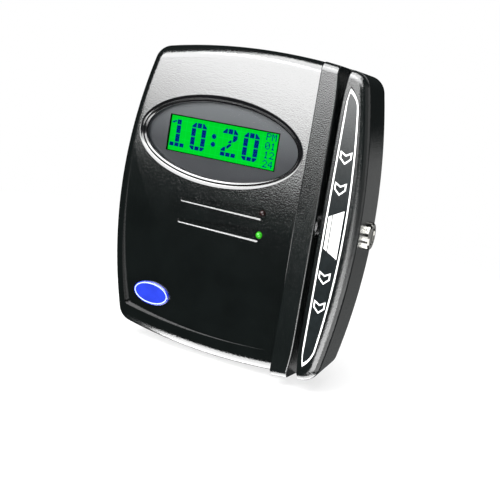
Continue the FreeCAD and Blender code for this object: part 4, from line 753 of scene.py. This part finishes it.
def board_details():
    legs = chip_legs(*PROCESSOR, PROCESSOR_LEGS, all_round=True)
    for memory in MEMORIES:
        legs += chip_legs(*memory, MEMORY_LEGS, all_round=False)
    on_board("chip_legs", legs, LEG_HIGH, "tin")
    places = [(x + across * i, z + up * i)
              for x, z, across, up, count in PART_ROWS for i in range(count)]
    ends = [strip(x, z, *PART_END_SIZE) for x, z in places]
    middles = [strip(x, z, *PART_BODY_SIZE) for x, z in places]
    on_board("part_ends", ends, PART_END_HIGH, "tin")
    on_board("part_bodies", middles, PART_BODY_HIGH, "chip")
    diodes = [strip(x, z, *DIODE_SIZE) for x, z in DIODE_PLACES]
    on_board("diodes", diodes, DIODE_HIGH, "chip")
    on_board("crystal_can", [strip(*CRYSTAL)], CRYSTAL_HIGH, "can")
    for i, sizes in enumerate(PRINTED_FRAMES):
        outer = strip(*sizes)
        ring(f"board_print_{i}", outer, moved_in(outer, FRAME_LINE), BOARD_BACK - FRAME_HIGH,
             FRAME_HIGH, "ink_white")
    half_turn = [math.pi / CAN_STRIPE_STEPS * k for k in range(CAN_STRIPE_STEPS + 1)]
    stripes = [[(CAN_X + CAN_RADIUS * math.cos(t), z + CAN_RADIUS * math.sin(t))
                for t in half_turn] for z in CAN_ROWS]
    prints("can_stripes", stripes, CAN_STRIPE_BACK, CAN_STRIPE_THICK, "ink_black")
    contacts = [strip(CONTACT_X + (k - (CONTACTS - 1) / 2) * CONTACT_PITCH, CONTACT_Z,
                      *CONTACT_SIZE) for k in range(CONTACTS)]
    prints("socket_contacts", contacts, CONTACT_BACK, CONTACT_THICK, "gold")


# Drives of the screws that show when the case is opened, drawn as dark crosses of painted shade

BOARD_SCREWS = [(x, z) for x in (-60.0, 32.5) for z in (-71.0, 71.0)]
READER_SCREWS = [(x, z) for x in (48.45, 63.45) for z in (-76.0, -48.0, 48.0, 76.0)]
BOARD_DRIVE, READER_DRIVE = (1.5, 0.55), (1.2, 0.45)  # reach from the middle, and width
BOARD_DRIVE_BACK, READER_DRIVE_BACK, DRIVE_THICK = 16.17, 17.97, 0.05


def screw_drives(name, screws, reach, wide, back):
    """A dark cross on the head of each screw: painted shade that stands in for its recess."""
    bars = []
    for x, z in screws:
        bars += [strip(x, z, 2 * reach, wide), strip(x, z, wide, 2 * reach)]
    prints(name, bars, back, DRIVE_THICK, "drive_shade")


prints("display_text", display_dots(), LCD_FACE, INK_THICK, "lcd_ink")
bezel()
# Painted shadow of the film's window edge on the display
ring("display_painted_shadow", LCD_SHADOW_OUTER, LCD_SHADOW_INNER, LCD_FACE, SHADOW_THICK, "lcd_painted_shadow")
film_sheet()
for i, row in enumerate(LIGHT_ROWS):
    groove_slope(f"groove_slope_{i}", row)
rail_label()
badge_ring()
board_details()
screw_drives("board_screw_drives", BOARD_SCREWS, *BOARD_DRIVE, BOARD_DRIVE_BACK)
screw_drives("reader_screw_drives", READER_SCREWS, *READER_DRIVE, READER_DRIVE_BACK)


# Studio. An azimuth of 0 looks along +Y, and 90 along -X

CAMERA_AZIMUTH, CAMERA_ELEVATION, CAMERA_ROLL = 27.2, 9.51, 9.36
CAMERA_PLACE = (0.26225, -0.51456, 0.06806)
FOCAL_PIXELS, PHOTO_PIXELS, SENSOR_WIDE, CLIP_START = 947.78, 500, 36.0, 0.01

LAMP_TARGET = Vector((0, -0.03, 0))
# The key light is one large sheet that fades towards its lower edge: each band's lower and
# upper edge, and its radiance
KEY_BANDS = [(-0.56, -0.47, 0.1), (-0.47, -0.40, 1.1), (-0.40, -0.29, 5.2), (-0.29, -0.16, 5.9),
             (-0.16, 0.95, 9.0)]
KEY_AZIMUTH, KEY_ELEVATION, KEY_DISTANCE, KEY_WIDE, KEY_TILT = -34, 19, 1.5, 1.3, -12
# Name, azimuth, elevation, distance, width, height, radiance, and whether gloss mirrors it.
# The table lets light through, so table_light, which lies below it, shows in the gloss
LAMPS = [
    ("table_light", 0, -94, 0.45, 0.60, 0.50, 6.8, True),
    ("key_right", 8, 34, 1.5, 0.9, 0.7, 6.5, True),
    ("front_right", 24, -7, 1.2, 0.45, 0.22, 2.2, True),
    ("overhead", -15, 66, 1.5, 1.4, 1.2, 7.5, True),
    ("front_low", 30, -13, 1.1, 1.1, 0.19, 3.0, True),
    ("front_lower", 30, -29, 1.1, 1.1, 0.42, 6.5, True),
    ("side_low", 88, -28, 0.9, 1.1, 0.50, 1.6, True),
    ("side_mid", 122, 6, 1.2, 0.8, 0.9, 0.45, True),
    ("side_dim", 85, 8, 1.2, 1.2, 1.2, 0.25, True),
    ("rear_high", 176, -3, 1.2, 0.8, 0.25, 0.22, True),
    ("rear_low", 176, -18, 1.2, 0.8, 0.36, 0.15, True),
    ("top", 0, 82, 1.2, 1.6, 1.2, 2.2, False),
    ("fill", 25, 20, 2.0, 1.6, 1.2, 0.5, False),
    ("back_fill", 200, 25, 2.0, 1.6, 1.2, 1.6, False),
    ("back_sheet", 168, 42, 2.0, 1.8, 0.7, 0.8, True),
]

WHITE = (1, 1, 1, 1)
ROOM_DIM = (0.018, 0.021, 0.021, 1)
FLOOR_Z, FLOOR_REACH = -0.094, 3
FLOOR_PAINT, FLOOR_MIRRORED = (0.9, 0.9, 0.9, 1), (0.04, 0.04, 0.04, 1)
# From the middle of the floor to far away, the share of plain white over the shaded paint
FLOOR_NEAR, FLOOR_FAR, WHITE_NEAR, WHITE_FAR = 0.12, 0.6, 0.72, 1.0


def direction(azimuth, elevation):
    """From the clock towards a viewer or a lamp."""
    a, e = math.radians(azimuth), math.radians(elevation)
    return Vector((math.sin(a) * math.cos(e), -math.cos(a) * math.cos(e), math.sin(e)))


def camera():
    azimuth, roll = math.radians(CAMERA_AZIMUTH), math.radians(CAMERA_ROLL)
    back = direction(CAMERA_AZIMUTH, CAMERA_ELEVATION)
    right = Vector((math.cos(azimuth), math.sin(azimuth), 0))
    up = back.cross(right)
    turned_right = right * math.cos(roll) + up * math.sin(roll)
    turned_up = up * math.cos(roll) - right * math.sin(roll)
    data = bpy.data.cameras.new("view")
    data.sensor_width = SENSOR_WIDE
    data.lens = FOCAL_PIXELS / PHOTO_PIXELS * SENSOR_WIDE
    data.clip_start = CLIP_START
    view = bpy.data.objects.new("view", data)
    turn = Matrix((turned_right, turned_up, back)).transposed().to_4x4()
    view.matrix_world = Matrix.Translation(CAMERA_PLACE) @ turn
    bpy.context.scene.collection.objects.link(view)
    bpy.context.scene.camera = view


def softbox(name, azimuth, elevation, distance, wide, tall, radiance, tilt=0.0, rise=0.0):
    """A rectangular lamp that faces the clock from a direction in degrees.

    The tilt turns it about that direction, and the rise then moves it up its own plane.
    """
    outward = direction(azimuth, elevation)
    data = bpy.data.lights.new(name, "AREA")
    data.shape = "RECTANGLE"
    data.size, data.size_y = wide, tall
    data.energy = radiance * math.pi * wide * tall
    lamp = bpy.data.objects.new(name, data)
    turn = outward.to_track_quat("Z", "Y").to_matrix().to_4x4()
    turn = turn @ Matrix.Rotation(math.radians(tilt), 4, "Z")
    lamp.matrix_world = Matrix.Translation(LAMP_TARGET + outward * distance) @ turn
    lamp.matrix_world @= Matrix.Translation((0, rise, 0))
    bpy.context.scene.collection.objects.link(lamp)
    lamp.visible_camera = False
    return lamp


def lamps():
    for i, (low, high, radiance) in enumerate(KEY_BANDS):
        softbox(f"key_{i}", KEY_AZIMUTH, KEY_ELEVATION, KEY_DISTANCE, KEY_WIDE, high - low,
                radiance, tilt=KEY_TILT, rise=(low + high) / 2)
    for *settings, mirrored in LAMPS:
        softbox(*settings).visible_glossy = mirrored


def room():
    """A dim room that the camera sees as plain white."""
    world = bpy.data.worlds.new("studio")
    bpy.context.scene.world = world
    graph = Graph(world, "ShaderNodeOutputWorld")
    rays = graph.add("ShaderNodeLightPath")
    dim = graph.add("ShaderNodeBackground", Color=ROOM_DIM)
    white = graph.add("ShaderNodeBackground", Color=WHITE)
    graph.show(graph.mix(rays.outputs["Is Camera Ray"], dim, white))


def floor_material():
    """Pale paint that shows the shadow and fades to white, and is dull in reflected light."""
    graph = material_graph("floor_paint")
    away = graph.add("ShaderNodeVectorMath", operation="LENGTH")
    graph.link(place(graph), away.inputs[0])
    fade = ramp(graph, away.outputs["Value"], FLOOR_NEAR, FLOOR_FAR, WHITE_NEAR, WHITE_FAR)
    paint = graph.add("ShaderNodeBsdfDiffuse", Color=FLOOR_PAINT)
    white = graph.add("ShaderNodeEmission", Color=WHITE)
    mirrored = graph.add("ShaderNodeBsdfDiffuse", Color=FLOOR_MIRRORED)
    rays = graph.add("ShaderNodeLightPath")
    seen = graph.mix(fade, paint, white)
    graph.show(graph.mix(rays.outputs["Is Camera Ray"], mirrored, seen))
    return graph.owner


def table():
    mesh = bpy.data.meshes.new("floor")
    corners = rectangle(-FLOOR_REACH, -FLOOR_REACH, FLOOR_REACH, FLOOR_REACH)
    mesh.from_pydata([(x, y, FLOOR_Z) for x, y in corners], [], [(0, 1, 2, 3)])
    floor = bpy.data.objects.new("floor", mesh)
    bpy.context.scene.collection.objects.link(floor)
    mesh.materials.append(floor_material())
    floor.visible_glossy = False
    floor.visible_shadow = False


camera()
lamps()
room()
table()
